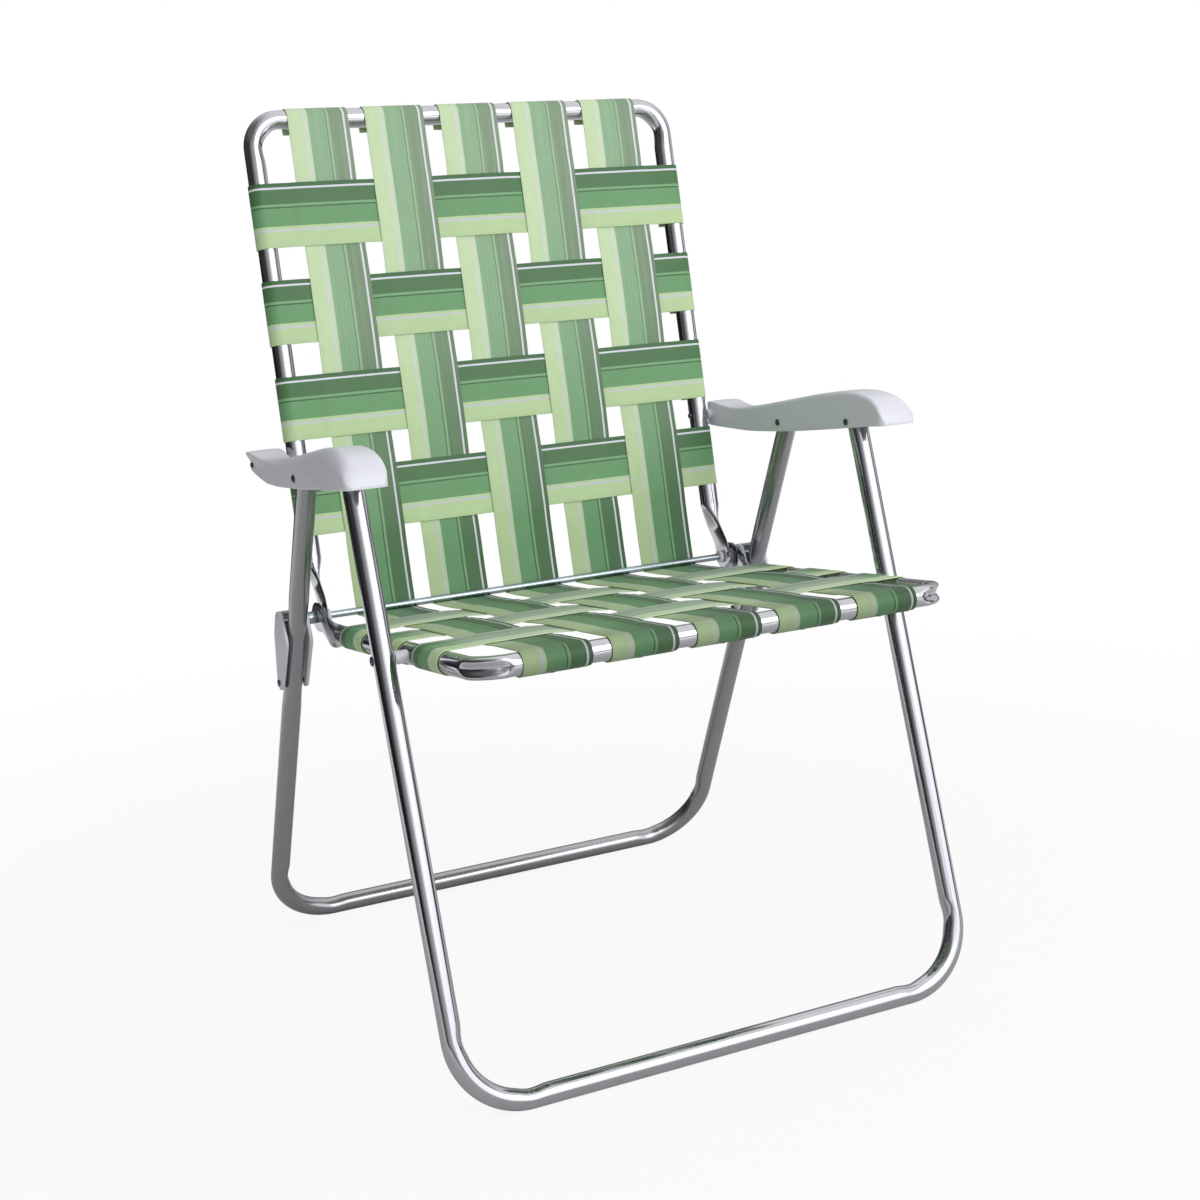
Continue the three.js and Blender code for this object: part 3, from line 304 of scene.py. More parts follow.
def planes(scene):
    """The planes of the front legs, rear legs, seat and back."""
    tubes = scene.chair_tubes
    offset = scene.chair_hardware.rod_offset
    radius = tubes.diameter / 2
    front_rail = np.array([ROD[0] - tubes.rod_setback, radius])
    axis = (REAR_PIVOT - CLIP_PIVOT) / np.linalg.norm(REAR_PIVOT - CLIP_PIVOT)
    rear_rail = CLIP_PIVOT - axis * (CLIP_PIVOT[1] - radius) / axis[1]
    seat_rail = np.array([front_rail[0] - tubes.seat_overhang, tubes.seat_height])
    reach = ROD - seat_rail
    tilt = np.arctan2(reach[1], reach[0]) - np.arcsin(offset / np.linalg.norm(reach))
    rise = BACK_PIVOT - ROD
    lean = np.arctan2(rise[1], rise[0]) + np.arcsin(offset / np.linalg.norm(rise))
    up = np.array([np.cos(lean), np.sin(lean)])
    foot = ROD + np.array([up[1], -up[0]]) * offset
    return {
        "front": Plane(front_rail, FRONT_PIVOT - front_rail),
        "rear": Plane(rear_rail, axis),
        "seat": Plane(seat_rail, np.array([np.cos(tilt), np.sin(tilt)])),
        "back": Plane(foot + up * tubes.back_length, -up, -1.0),
    }


# Mesh parts worked out as whole arrays

Part = namedtuple("Part", "points corners sizes uv")


def smooth(low, high, at):
    """0 below low, 1 above high, and 3t^2 - 2t^3 between."""
    t = np.clip((at - low) / (high - low), 0, 1)
    return t * t * (3 - 2 * t)


def bump(distance):
    """(1 - d^2)^2 inside distance 1 and nothing outside."""
    return np.where(distance < 1, (1 - np.minimum(distance, 1) ** 2) ** 2, 0)


def hermite(xs, ys, at):
    """A smooth curve through (xs, ys): cubic pieces whose slopes are the neighbours' mean."""
    xs, ys, at = np.asarray(xs, float), np.asarray(ys, float), np.asarray(at, float)
    slopes = np.gradient(ys, xs)
    i = np.clip(np.searchsorted(xs, at, side="right") - 1, 0, len(xs) - 2)
    h = xs[i + 1] - xs[i]
    t = (at - xs[i]) / h
    return (
        (1 + 2 * t) * (1 - t) ** 2 * ys[i]
        + t * (1 - t) ** 2 * h * slopes[i]
        + t * t * (3 - 2 * t) * ys[i + 1]
        + t * t * (t - 1) * h * slopes[i + 1]
    )


def ring_grid(points, uv):
    """Rings of points joined to the next ring, each ring closed, with a face over both ends.
    points is (rings, sides, 3) and uv is (rings, sides + 1, 2)."""
    n, m = points.shape[:2]
    i, j = np.arange(n - 1)[:, None], np.arange(m)[None, :]
    k = (j + 1) % m
    quads = np.stack([i * m + j, i * m + k, (i + 1) * m + k, (i + 1) * m + j], axis=-1)
    looks = np.stack([uv[:-1, :-1], uv[:-1, 1:], uv[1:, 1:], uv[1:, :-1]], axis=2)
    corners = np.concatenate([quads.ravel(), np.arange(m)[::-1], (n - 1) * m + np.arange(m)])
    looks = np.concatenate([looks.reshape(-1, 2), uv[0, :-1][::-1], uv[-1, :-1]])
    sizes = np.append(np.full((n - 1) * m, 4), [m, m])
    return outward(Part(points.reshape(-1, 3), corners, sizes, looks))


def outward(part):
    """The part with its faces turned out: the sum of the fans' volumes is made positive."""
    points, corners, sizes, uv = part
    start = np.cumsum(sizes) - sizes
    face = np.repeat(np.arange(len(sizes)), sizes)
    after = np.arange(len(corners)) + 1
    after[start + sizes - 1] = start
    first, a, b = points[corners[start[face]]], points[corners], points[corners[after]]
    if (first * np.cross(a, b)).sum() >= 0:
        return part
    back = 2 * start[face] + sizes[face] - 1 - np.arange(len(corners))
    return Part(points, corners[back], sizes, uv[back])


def joined(parts):
    """Several parts as one: each part's corners count on from the points before it."""
    counts = np.cumsum([0] + [len(p.points) for p in parts[:-1]])
    return Part(
        np.concatenate([p.points for p in parts]),
        np.concatenate([p.corners + c for p, c in zip(parts, counts)]),
        np.concatenate([p.sizes for p in parts]),
        np.concatenate([p.uv for p in parts]),
    )


def mirrored(part):
    """The part on the other side of the chair: x changes sign and the faces turn round."""
    return outward(Part(part.points * [-1, 1, 1], part.corners, part.sizes, part.uv))


def on_side(part, side):
    return part if side > 0 else mirrored(part)


def new_piece(name, parts, material, sharp=35.0):
    """A mesh object from parts, smooth except where faces meet at more than sharp degrees."""
    part = joined(parts)
    old = bpy.data.objects.get(name)
    if old is not None:
        bpy.data.objects.remove(old)
    mesh = bpy.data.meshes.new(name)
    mesh.vertices.add(len(part.points))
    mesh.vertices.foreach_set("co", part.points.astype(np.float32).ravel())
    mesh.loops.add(len(part.corners))
    mesh.loops.foreach_set("vertex_index", part.corners.astype(np.int32))
    mesh.polygons.add(len(part.sizes))
    starts = (np.cumsum(part.sizes) - part.sizes).astype(np.int32)
    mesh.polygons.foreach_set("loop_start", starts)
    layer = mesh.uv_layers.new(name="UVMap")
    layer.data.foreach_set("uv", part.uv.astype(np.float32).ravel())
    mesh.update(calc_edges=True)
    if mesh.validate(verbose=False):
        raise RuntimeError(f"{name} has broken faces")
    mesh.shade_smooth()
    mesh.set_sharp_from_angle(angle=np.radians(sharp))
    mesh.materials.append(material)
    piece = bpy.data.objects.new(name, mesh)
    bpy.context.scene.collection.objects.link(piece)
    return piece


def dressed(name, parts, material, body, node=None, sharp=35.0):
    """A piece with the CAD node it stands for and the body it rides on."""
    piece = new_piece(name, parts, material, sharp)
    if node:
        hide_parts(node)
    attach(piece, body)
    return piece


def units(vectors):
    """Vectors over their lengths."""
    return vectors / np.linalg.norm(vectors, axis=-1, keepdims=True)


def stacked(*columns):
    """Columns of numbers, spread to one shape, as points."""
    return np.stack(np.broadcast_arrays(*columns), axis=-1)


def spokes(angle):
    """Points round the middle of a circle of radius one."""
    return stacked(np.cos(angle), np.sin(angle))


def lengths(route):
    """The length along a route up to each of its points."""
    return np.concatenate([[0], np.cumsum(np.linalg.norm(np.diff(route, axis=0), axis=1))])


# Shader maths


class Value:
    """A number that changes over a surface: a socket with arithmetic."""

    def __init__(self, graph, socket):
        self.graph, self.socket = graph, socket

    def maths(self, operation, *others):
        numbers = {i: v for i, v in enumerate((self, *others))}
        return self.graph.value("ShaderNodeMath", {"operation": operation}, numbers)

    def __add__(self, other):
        return self.maths("ADD", other)

    def __sub__(self, other):
        return self.maths("SUBTRACT", other)

    def __rsub__(self, other):
        return self.graph.value(
            "ShaderNodeMath", {"operation": "SUBTRACT"}, {0: other, 1: self}
        )

    def __mul__(self, other):
        return self.maths("MULTIPLY", other)

    __radd__ = __add__
    __rmul__ = __mul__


class Graph:
    """A node tree that is filled by expressions."""

    def __init__(self, tree):
        self.tree = tree
        tree.nodes.clear()

    def node(self, kind, settings=None, values=None):
        """A node of a type: its settings first, then its sockets, by name, identifier or number."""
        made = self.tree.nodes.new(kind)
        for name, value in (settings or {}).items():
            setattr(made, name, value)
        for key, value in (values or {}).items():
            named = (s for s in made.inputs if key in (s.identifier, s.name))
            socket = made.inputs[key] if isinstance(key, int) else next(named)
            if isinstance(value, Value):
                self.tree.links.new(value.socket, socket)
            else:
                socket.default_value = value
        return made

    def value(self, kind, settings=None, values=None, output=0):
        return Value(self, self.node(kind, settings, values).outputs[output])

    def ramp(self, number, stops, interpolation):
        """A colour picked along a number by stops, which are pairs of a place and a colour."""
        made = self.node("ShaderNodeValToRGB", None, {0: number})
        made.color_ramp.interpolation = interpolation
        elements = made.color_ramp.elements
        elements.remove(elements[-1])
        for order, (at, tint) in enumerate(stops):
            element = elements.new(at) if order else elements[0]
            element.position, element.color = at, (*tint, 1.0)
        return Value(self, made.outputs[0])

    def step(self, number, start, stop, least, most):
        """least below start, most above stop, and a smooth step between."""
        ends = {"From Min": start, "From Max": stop, "To Min": least, "To Max": most}
        return self.value(
            "ShaderNodeMapRange",
            {"interpolation_type": "SMOOTHSTEP"},
            {"Value": number, **ends},
        )

    def mix(self, factor, a, b, blend="MIX"):
        """A colour between two others."""
        settings = {"data_type": "RGBA", "blend_type": blend, "clamp_factor": True}
        values = {"Factor_Float": factor, "A_Color": a, "B_Color": b}
        return self.value("ShaderNodeMix", settings, values, output=2)

    def grey(self, number):
        """A number as a colour."""
        return self.value("ShaderNodeCombineColor", None, {0: number, 1: number, 2: number})

    def vector(self, x, y):
        return self.value("ShaderNodeCombineXYZ", None, {0: x, 1: y, 2: 0.0})

    def scaled(self, vector, factors):
        return self.value(
            "ShaderNodeVectorMath", {"operation": "MULTIPLY"}, {0: vector, 1: factors}
        )

    def noise(self, vector, scale, detail=2.0, roughness=0.5):
        values = {"Vector": vector, "Scale": scale, "Detail": detail, "Roughness": roughness}
        return self.value("ShaderNodeTexNoise", {"noise_dimensions": "3D"}, values)

    def split(self, vector):
        outputs = self.node("ShaderNodeSeparateXYZ", None, {0: vector}).outputs
        return [Value(self, output) for output in outputs]

    def uv(self):
        """The piece's own map: u round or across, and v along in metres."""
        return self.split(self.value("ShaderNodeUVMap", {"uv_map": "UVMap"}))[:2]

    def place(self):
        """Object coordinates."""
        return self.value("ShaderNodeTexCoord", output=3)

    def rays(self):
        """Whether a ray is the camera's, seen straight or through glass, and whether it is a
        reflection."""
        outputs = self.node("ShaderNodeLightPath").outputs
        camera, glossy, clear = (
            Value(self, outputs[f"Is {kind} Ray"]) for kind in ("Camera", "Glossy", "Transmission")
        )
        return camera.maths("MAXIMUM", clear), glossy

    def bumped(self, height, strength, distance):
        values = {"Height": height, "Strength": strength, "Distance": distance}
        return self.value("ShaderNodeBump", None, values)

    def surface(self, **values):
        """The principled shader and the output."""
        named = {key.replace("_", " "): value for key, value in values.items()}
        shader = self.value("ShaderNodeBsdfPrincipled", None, named)
        self.node("ShaderNodeOutputMaterial", None, {"Surface": shader})


WHITE = (1.0, 1.0, 1.0, 1.0)


def opaque(tint, level=1.0):
    """A colour times a level, as an opaque one."""
    return (*[c * level for c in tint], 1.0)


def new_material(name):
    material = bpy.data.materials.get(name) or bpy.data.materials.new(name)
    material.use_nodes = True
    return material, Graph(material.node_tree)


# Where each stripe starts across a band, and how far along a band the stops of its painted light,
# shade and sheen reach.
STRIPES = (
    (0.0, "light"), (0.243, "pale"), (0.284, "light"), (0.326, "middle"), (0.606, "seam"),
    (0.632, "gleam"), (0.668, "dark"), (0.9, "white"), (0.931, "edge"),
)
PAINTED_LIGHT_RUN = 1.3
YARN = 0.0016


def web_material(name, scene, painted_lighting, haze):
    """Woven stripes: the stripe is picked by u, and the yarns are the product of two waves, with
    painted shade in their valleys. The last two arguments give the painted light and shade along v
    and how much painted pale sheen lies on it, both as stops (share of the stops' run, level)."""
    tints, width = scene.chair_stripes, scene.chair_web.width
    material, g = new_material(name)
    u, v = g.uv()
    cloth = g.vector(u * width, v)
    warp = (u * (width * 2 * np.pi / YARN)).maths("SINE")
    weft = (v * (2 * np.pi / YARN)).maths("SINE")
    weave = warp * weft * 0.5 + 0.5
    fuzz = g.noise(cloth, 1400.0, 1.0)
    blotch = g.noise(cloth, 45.0, 3.0)
    sheen_streak = g.noise(g.vector(u * 38.0, v * 5.0), 1.0, 2.0, 0.6)

    def along(stops):
        return g.ramp(v * (1 / PAINTED_LIGHT_RUN), [(at, (s, s, s)) for at, s in stops], "EASE")

    edge = u + (fuzz - 0.5) * 0.006 + (weave - 0.5) * 0.003
    stripes = g.ramp(edge, [(at, getattr(tints, key)) for at, key in STRIPES], "CONSTANT")
    # Painted shade in the weave's valleys, with random tone from fuzz and blotch
    weave_shade_and_tone = weave * 0.16 + (fuzz - 0.5) * 0.16 + (blotch - 0.5) * 0.12 + 0.92
    # Painted sheen: how much pale colour lies over the stripes, by stops along v, broken into
    # streaks
    sheen = g.value("ShaderNodeSeparateColor", None, {0: along(haze)}) * (sheen_streak * 1.6 + 0.2)
    # Painted light and shade: the stripes times a level that changes along v
    lit = g.mix(1.0, stripes, along(painted_lighting), "MULTIPLY")
    lit = g.mix(sheen, lit, opaque(tints.haze))
    g.surface(
        Base_Color=g.mix(1.0, lit, g.grey(weave_shade_and_tone), "MULTIPLY"),
        Roughness=0.5 + (fuzz - 0.5) * 0.2,
        Normal=g.bumped(weave + fuzz * 0.4, 0.35, 0.0003),
        Sheen_Weight=0.04,
        Sheen_Roughness=0.4,
        Specular_IOR_Level=0.3,
    )
    return material


def tube_material(name, tint, rough, spread):
    """Drawn tube: fine lines along v in the roughness and the bump, and faint smudges."""
    material, g = new_material(name)
    u, v = g.uv()
    lines = g.noise(g.vector(u * 70.0, v * 1.5), 1.0, 3.0, 0.6)
    fine = g.noise(g.vector(u * 400.0, v * 6.0), 1.0, 1.0)
    smudge = g.noise(g.vector(u * 4.0, v * 30.0), 1.0, 3.0, 0.6)
    worn = g.mix(smudge * 0.5, opaque(tint), opaque(tint, 0.86))
    g.surface(
        Base_Color=worn,
        Metallic=1.0,
        Roughness=rough + (lines - 0.5) * spread + (smudge - 0.5) * spread,
        Normal=g.bumped(fine + lines, 0.03, 0.0002),
    )
    return material


def moulded_material(name, tint, rough):
    """Moulded plastic: a very fine grain, and tone and gloss that drift slowly."""
    material, g = new_material(name)
    place = g.place()
    grain = g.noise(place, 2600.0, 2.0)
    drift = g.noise(place, 22.0, 3.0)
    scuff = g.noise(g.scaled(place, (40.0, 400.0, 400.0)), 1.0, 4.0, 0.7)
    mark = scuff.maths("GREATER_THAN", 0.72) * 0.4
    base = g.mix(drift * 0.5, opaque(tint), opaque(tint, 0.93))
    g.surface(
        Base_Color=g.mix(mark * 0.3, base, opaque(tint, 0.8)),
        Roughness=rough + (drift - 0.5) * 0.14 + mark * 0.2,
        Normal=g.bumped(grain, 0.12, 0.0002),
        Specular_IOR_Level=0.5,
    )
    return material


def plated_material(name, tint, rough):
    """Plated steel: spangled tone and gloss, with fine turning lines."""
    material, g = new_material(name)
    place = g.place()
    spangle = g.noise(place, 420.0, 3.0, 0.6)
    turned = g.noise(g.scaled(place, (3200.0, 60.0, 60.0)), 1.0, 1.0)
    g.surface(
        Base_Color=g.mix(spangle, opaque(tint), opaque(tint, 0.72)),
        Metallic=1.0,
        Roughness=rough + (spangle - 0.5) * 0.25,
        Normal=g.bumped(turned + spangle * 0.5, 0.06, 0.0002),
    )
    return material


# Tubes

# Shares of the wall's thickness in the rounding of an open end, of the diameter in the bore that
# is seen there and in a crease's reach, and of a pressed end's run where it begins to be flat and
# where its rise to the rod ends and begins.
OPEN_RIM = 0.35
OPEN_DEPTH = 1.6
CREASE_REACH = 0.8
FLAT_FROM = 0.53
RISE_SPAN = (0.16, 0.78)
# A corner's hollow: where its middle is round the bend, how much of the tube's height it takes
# and how much of its reach is deepest.
DIMPLE_TURN = np.pi / 4.3
DIMPLE_HEIGHT = 0.85
DIMPLE_LEVEL = 0.55


def u_tube(plane, half, bend, sizes, top, form):
    """A U of tube: round sections of the tube's radius carried down one side, round a bend, along
    the rail and up the other side, with the wall turned in at both open ends. A row of the path
    holds x, y, the section's radius and the angle turned through."""
    radius, bore = sizes.diameter / 2, sizes.diameter / 2 - sizes.wall
    lip, depth = sizes.wall * OPEN_RIM, sizes.diameter * OPEN_DEPTH
    end = np.array(
        [
            [depth, bore],
            [depth * 0.5, bore],
            [lip, bore],
            [0, bore + lip],
            [0, radius - lip],
            [lip * 0.3, radius - lip * 0.3],
            [lip, radius],
        ]
    )
    count = max(2, int((top - bend) / sizes.step))
    side = top - lip - (top - lip - bend) * (np.arange(1, count) / count)
    angle = np.linspace(0, np.pi / 2, max(12, int(bend * np.pi / 2 / sizes.step * 1.6)))
    rail = np.linspace(bend - half, 0, int((half - bend) / sizes.step) + 1)[1:]
    path = np.concatenate(
        [
            stacked(-half, top - end[:, 0], end[:, 1], 0),
            stacked(-half, side, radius, 0),
            stacked(bend - half - bend * np.cos(angle), bend - bend * np.sin(angle), radius, angle),
            stacked(rail, 0, radius, np.pi / 2),
        ]
    )
    path = np.concatenate([path, path[-2::-1] * [-1, 1, 1, -1] + [0, 0, 0, np.pi]])
    x, y, r, turn = path.T[..., None]
    theta = np.linspace(0, 2 * np.pi, sizes.ring + 1)
    reach = r * np.cos(theta[:-1])
    points = stacked(x - np.cos(turn) * reach, y - np.sin(turn) * reach, -r * np.sin(theta[:-1]))
    uv = stacked(theta / (2 * np.pi), lengths(path[:, :2])[:, None])
    return ring_grid(plane.place(form(points)), uv)


def creased(points, half, bend, sizes):
    """The inner wall moves out by a smooth bump centred where a bend starts and ends."""
    reach = CREASE_REACH * sizes.diameter
    radius = sizes.diameter / 2
    x, y = points[..., 0], points[..., 1]
    inner = half - radius - np.abs(x)
    start = np.hypot(y - bend, inner) / reach
    end = np.hypot(np.abs(x) - (half - bend), y - radius) / reach
    made = points.copy()
    made[..., 0] += np.sign(x) * sizes.crease * bump(start)
    made[..., 1] -= sizes.crease * bump(end)
    return made


def pressed(points, rod_along, shift, sizes, offset):
    """The tube's end goes flat, widens, rounds off about the rod, rises to it and moves sideways,
    each by a smooth step of the distance before the rod."""
    radius, half = sizes.diameter / 2, sizes.lap_half_width
    bore, tip = radius - sizes.wall, sizes.flat_width / 2
    run = sizes.flat_run
    side = np.sign(points[..., 0])
    before = rod_along - points[..., 1]
    lateral = points[..., 0] - side * half
    reach = np.maximum(np.hypot(lateral, points[..., 2]), 1e-9)
    depth = np.clip((reach - bore) / (radius - bore), 0, 1)
    thin = (sizes.flat_slit + (sizes.flat_thickness - sizes.flat_slit) * depth) / 2
    flat = 1 - smooth(FLAT_FROM * run, run, before)
    rise = 1 - smooth(RISE_SPAN[0] * run, RISE_SPAN[1] * run, before)
    past = np.clip(-before / tip, 0, 0.9995)
    spread = (1 + (tip / radius - 1) * flat) * np.sqrt(1 - past**2)
    made = points.copy()
    made[..., 0] = side * (half + shift * flat) + lateral * (1 + (thin / reach - 1) * flat)
    made[..., 2] = points[..., 2] * spread + offset * rise
    return made


def build_tubes(scene):
    sizes, hardware, finishes = scene.chair_tubes, scene.chair_hardware, scene.chair_finishes
    offset, made = hardware.rod_offset, planes(scene)
    polished = tube_material("polished_tube", finishes.polished, 0.11, 0.07)
    satin = tube_material("satin_tube", finishes.satin, 0.24, 0.1)
    front, rear, seat, back = (made[key] for key in ("front", "rear", "seat", "back"))
    leg, lap, radius = sizes.leg_half_width, sizes.lap_half_width, sizes.diameter / 2
    tip = sizes.flat_width / 2
    high = rear.local(ROD)[0] + hardware.clip_boss
    low = rear.local(CLIP_PIVOT)[0] - hardware.clip_end
    ramp = sizes.flat_run / 2
    rod_seat = seat.local(ROD)[0]

    def front_form(points):
        return creased(points, leg, sizes.front_bend, sizes)

    def rear_form(points):
        """Sides move in and faces out between the clip's ends, with smooth ramps."""
        y = points[..., 1]
        hold = (1 - smooth(high, high + ramp, y)) * smooth(low - ramp, low, y)
        squeeze = 2 * sizes.squeeze / sizes.diameter * hold
        axis = np.sign(points[..., 0]) * leg
        moved = points.copy()
        moved[..., 0] = axis + (points[..., 0] - axis) * (1 - squeeze)
        moved[..., 2] *= 1 + squeeze
        return creased(moved, leg, sizes.rear_bend, sizes)

    def seat_form(points):
        """A hollow pressed in each front corner's outer wall, then the pressed ends. The outer half
        of the section goes from a circle to the curve whose cubes of height and reach add up to
        one, less a valley, and back, by a smooth step of the distance along the wall."""
        bend = sizes.seat_bend
        side = np.sign(points[..., 0])
        past = np.abs(points[..., 0]) - (lap - bend)
        inside = bend - points[..., 1]
        turn = np.clip(np.arctan2(past, inside), 0, np.pi / 2)
        straight = np.minimum(past, 0) - np.minimum(inside, 0)
        run = ((turn - DIMPLE_TURN) * (bend + radius) + straight) / sizes.dimple_reach
        climb = np.minimum(np.abs(points[..., 2]) / radius, 1)
        wanted = (1 - climb**3) ** (1 / 3) - sizes.dimple * (1 - smooth(0, DIMPLE_HEIGHT, climb))
        steep, level = past / np.sin(turn.clip(0.7)), inside / np.cos(turn.clip(0, 0.8))
        reach = np.where(turn > np.pi / 4, steep, level)
        outer_half = smooth(0, 0.05, reach / radius - bend / radius)
        depth = radius * (np.sqrt(1 - climb**2) - wanted) * outer_half
        depth = depth * (1 - smooth(DIMPLE_LEVEL, 1, np.abs(run)))
        moved = points.copy()
        moved[..., 0] -= side * np.sin(turn) * depth
        moved[..., 1] += np.cos(turn) * depth
        return pressed(moved, rod_seat, sizes.seat_flat_shift, sizes, offset)

    def back_form(points):
        bent = creased(points, lap, sizes.back_bend, sizes)
        return pressed(bent, sizes.back_length, 0.0, sizes, offset)

    front_top = front.local(FRONT_PIVOT)[0] + sizes.front_top
    rear_top = rear.local(REAR_PIVOT)[0] + sizes.rear_top
    rows = (
        ("front_leg", front, leg, sizes.front_bend, front_top, front_form, "front_legs"),
        ("rear_leg", rear, leg, sizes.rear_bend, rear_top, rear_form, "rear_legs"),
        ("seat", seat, lap, sizes.seat_bend, rod_seat + tip, seat_form, "seat"),
        ("back", back, lap, sizes.back_bend, sizes.back_length + tip, back_form, "back"),
    )
    for stem, plane, half, bend, top, form, body in rows:
        part = u_tube(plane, half, bend, sizes, top, form)
        material = satin if stem == "rear_leg" else polished
        dressed(f"{stem}_tube", [part], material, body, f"{stem}_frame", sharp=60.0)


# Webbing. A route is an array of (run, height) points in a plane.


def band_profile(sizes):
    """A flat band's section with round edges: (across share from -1 to 1, height) pairs."""
    half = sizes.thickness / 2
    flat = 1 - sizes.thickness / sizes.width
    share = np.linspace(-flat, flat, 13)
    angle = np.radians([-60, -20, 20, 60])
    edge = np.stack([flat + (1 - flat) * np.cos(angle), half * np.sin(angle)], axis=-1)
    low, high = stacked(share, -half), stacked(share[::-1], half)
    return np.concatenate([low, edge, high, edge[::-1] * [-1, 1]])


# How far a band goes round its tube, and from there the ways on along it and off the tube.
WRAP_DEGREES = 184
WRAP = np.radians(WRAP_DEGREES)
ONWARD = np.array([np.cos(WRAP), -np.sin(WRAP)])
AWAY = np.array([np.sin(WRAP), np.cos(WRAP)])
# A hem's radius and its fastener's height over the tube's side, both over the band's thickness,
# the fastener's place as a share of the tail, and the turn in radians between a band's stations.
HEM_FOLD = 0.62
FASTENER_HEIGHT = 1.75
FASTENER_PLACE = 0.42
TURN_STEP = 0.16


def tail_route(sizes, axis_run, outward_sign):
    """From the sitter's side outwards: an arc round the tube, a straight tail behind it, and a hem
    folded back on its outer side."""
    angle = np.radians(np.linspace(0, WRAP_DEGREES, 40))
    arc = np.stack([np.sin(angle), np.cos(angle)], axis=-1) * sizes.height
    straight = arc[-1] + ONWARD * np.linspace(0, sizes.tail, 10)[1:, None]
    fold = sizes.thickness * HEM_FOLD
    turn = np.linspace(0, np.pi, 9)[1:, None]
    folded = straight[-1] + AWAY * fold * (1 - np.cos(turn)) + ONWARD * fold * np.sin(turn)
    back = folded[-1] - ONWARD * np.linspace(0, sizes.hem, 8)[1:, None]
    route = np.concatenate([arc, straight, folded, back]) * [outward_sign, 1]
    return route + [axis_run, 0]


def fastener_spot(sizes, axis_run, outward_sign):
    """Where a tail's fastener sits, and which way it faces: the middle of the hem's outer side."""
    spot = AWAY * (sizes.height + sizes.thickness * FASTENER_HEIGHT)
    spot = spot + ONWARD * sizes.tail * FASTENER_PLACE
    return spot * [outward_sign, 1] + [axis_run, 0], AWAY * [outward_sign, 1]


def woven(sizes, start, stop, crossings, gap):
    """Level at the web's height, lifted over or under each crossing with a smooth rise and fall."""
    run = np.arange(start, stop, sizes.step)
    lift = run * 0
    for middle, over in crossings:
        hold = 1 - smooth(sizes.width / 2, sizes.width / 2 + gap / 2, np.abs(run - middle))
        lift += (1 if over else -1) * sizes.lift * hold
    return np.stack([run, sizes.height + lift], axis=-1)


def band(route, plane, sizes, offset, dark_edge):
    """A band and its length. Its section is carried along a route of the plane, or of the side
    view where plane is None, with its thickness along the route's normal, which is its tangent
    turned by a right angle. u runs from the light edge to the dark one, and v is the length."""
    profile = band_profile(sizes)
    tangent = units(np.gradient(route, axis=0))
    normal = np.stack([-tangent[:, 1], tangent[:, 0]], axis=-1)
    centre_line = route[:, None, :] + normal[:, None, :] * profile[None, :, 1:2]
    wide = profile[None, :, 0] * sizes.width / 2 + offset
    run, height = centre_line[..., 0], centre_line[..., 1]
    along = lengths(route)
    u = (1 + dark_edge * profile[:, 0]) / 2
    uv = stacked(np.append(u, u[0]), along[:, None])
    if plane is None:
        points = stacked(wide, run, height)
    else:
        points = plane.place(stacked(run, wide, height))
    return ring_grid(points, uv), float(along[-1])


def strap_places(sizes):
    return [(n - 2) * sizes.pitch for n in range(5)]


def back_rows(scene):
    """Rows from the top rail down: distance from the rail, and whether a row covers odd straps."""
    sizes = scene.chair_web
    reach = scene.chair_tubes.back_length - sizes.back_first
    return [(reach - (3 - n) * sizes.back_pitch, n % 2 == 0) for n in range(4)]


def seat_rows(scene):
    sizes = scene.chair_web
    return [(sizes.seat_first + n * sizes.seat_pitch, n % 2 == 0) for n in range(3)]


def row_over(over_odd, strap):
    return over_odd == (strap % 2 == 0)


def side_route(plane, route):
    """A route of a plane as places in the side view."""
    return plane.rail + route[:, :1] * plane.along + route[:, 1:] * plane.off


def strap_route(scene, strap):
    """One strap in the side view: its top tail, the back's weave, an arc behind and under the rod,
    the seat's weave and its front tail."""
    sizes, made = scene.chair_web, planes(scene)
    offset = scene.chair_hardware.rod_offset
    back, seat = made["back"], made["seat"]
    gap = sizes.back_pitch - sizes.width
    near = scene.chair_hardware.rod / 2 + sizes.thickness / 2 + sizes.play

    def span(rows, rod_along):
        crossings = [(at, not row_over(odd, strap)) for at, odd in rows]
        route = woven(sizes, sizes.step, rod_along - sizes.step, crossings, gap)
        press = smooth(rod_along - sizes.ease, rod_along, route[:, 0])
        route[:, 1] += (offset - near - sizes.height) * press
        return route

    top = side_route(back, tail_route(sizes, 0.0, -1.0)[::-1])
    down = side_route(back, span(back_rows(scene), scene.chair_tubes.back_length))
    rod_seat = seat.local(ROD)[0]
    out = side_route(seat, span(seat_rows(scene), rod_seat)[::-1])
    front = side_route(seat, tail_route(sizes, 0.0, -1.0))
    first, last = -back.off, -seat.off
    start = np.arctan2(first[1], first[0])
    sweep = np.arctan2(last[1], last[0]) - start
    angle = start + np.linspace(0, (sweep + np.pi) % (2 * np.pi) - np.pi, 14)
    arc = ROD + spokes(angle) * near
    return np.concatenate([top, down, arc, out, front])


def evened(route, step):
    """The same route with its points a step apart, finer where it turns."""
    length = np.linalg.norm(np.diff(route, axis=0), axis=1)
    route = route[np.concatenate([[True], length > 1e-7])]
    along = lengths(route)
    heading = np.unwrap(np.arctan2(*np.diff(route, axis=0).T[::-1]))
    turning = np.concatenate([[0], np.abs(np.diff(heading)), [0]])
    weight = np.concatenate([[0], np.cumsum(np.diff(along) / step + turning[1:] / TURN_STEP)])
    wanted = np.linspace(0, weight[-1], int(weight[-1]) + 2)
    at = np.interp(wanted, weight, along)
    return stacked(np.interp(at, along, route[:, 0]), np.interp(at, along, route[:, 1]))


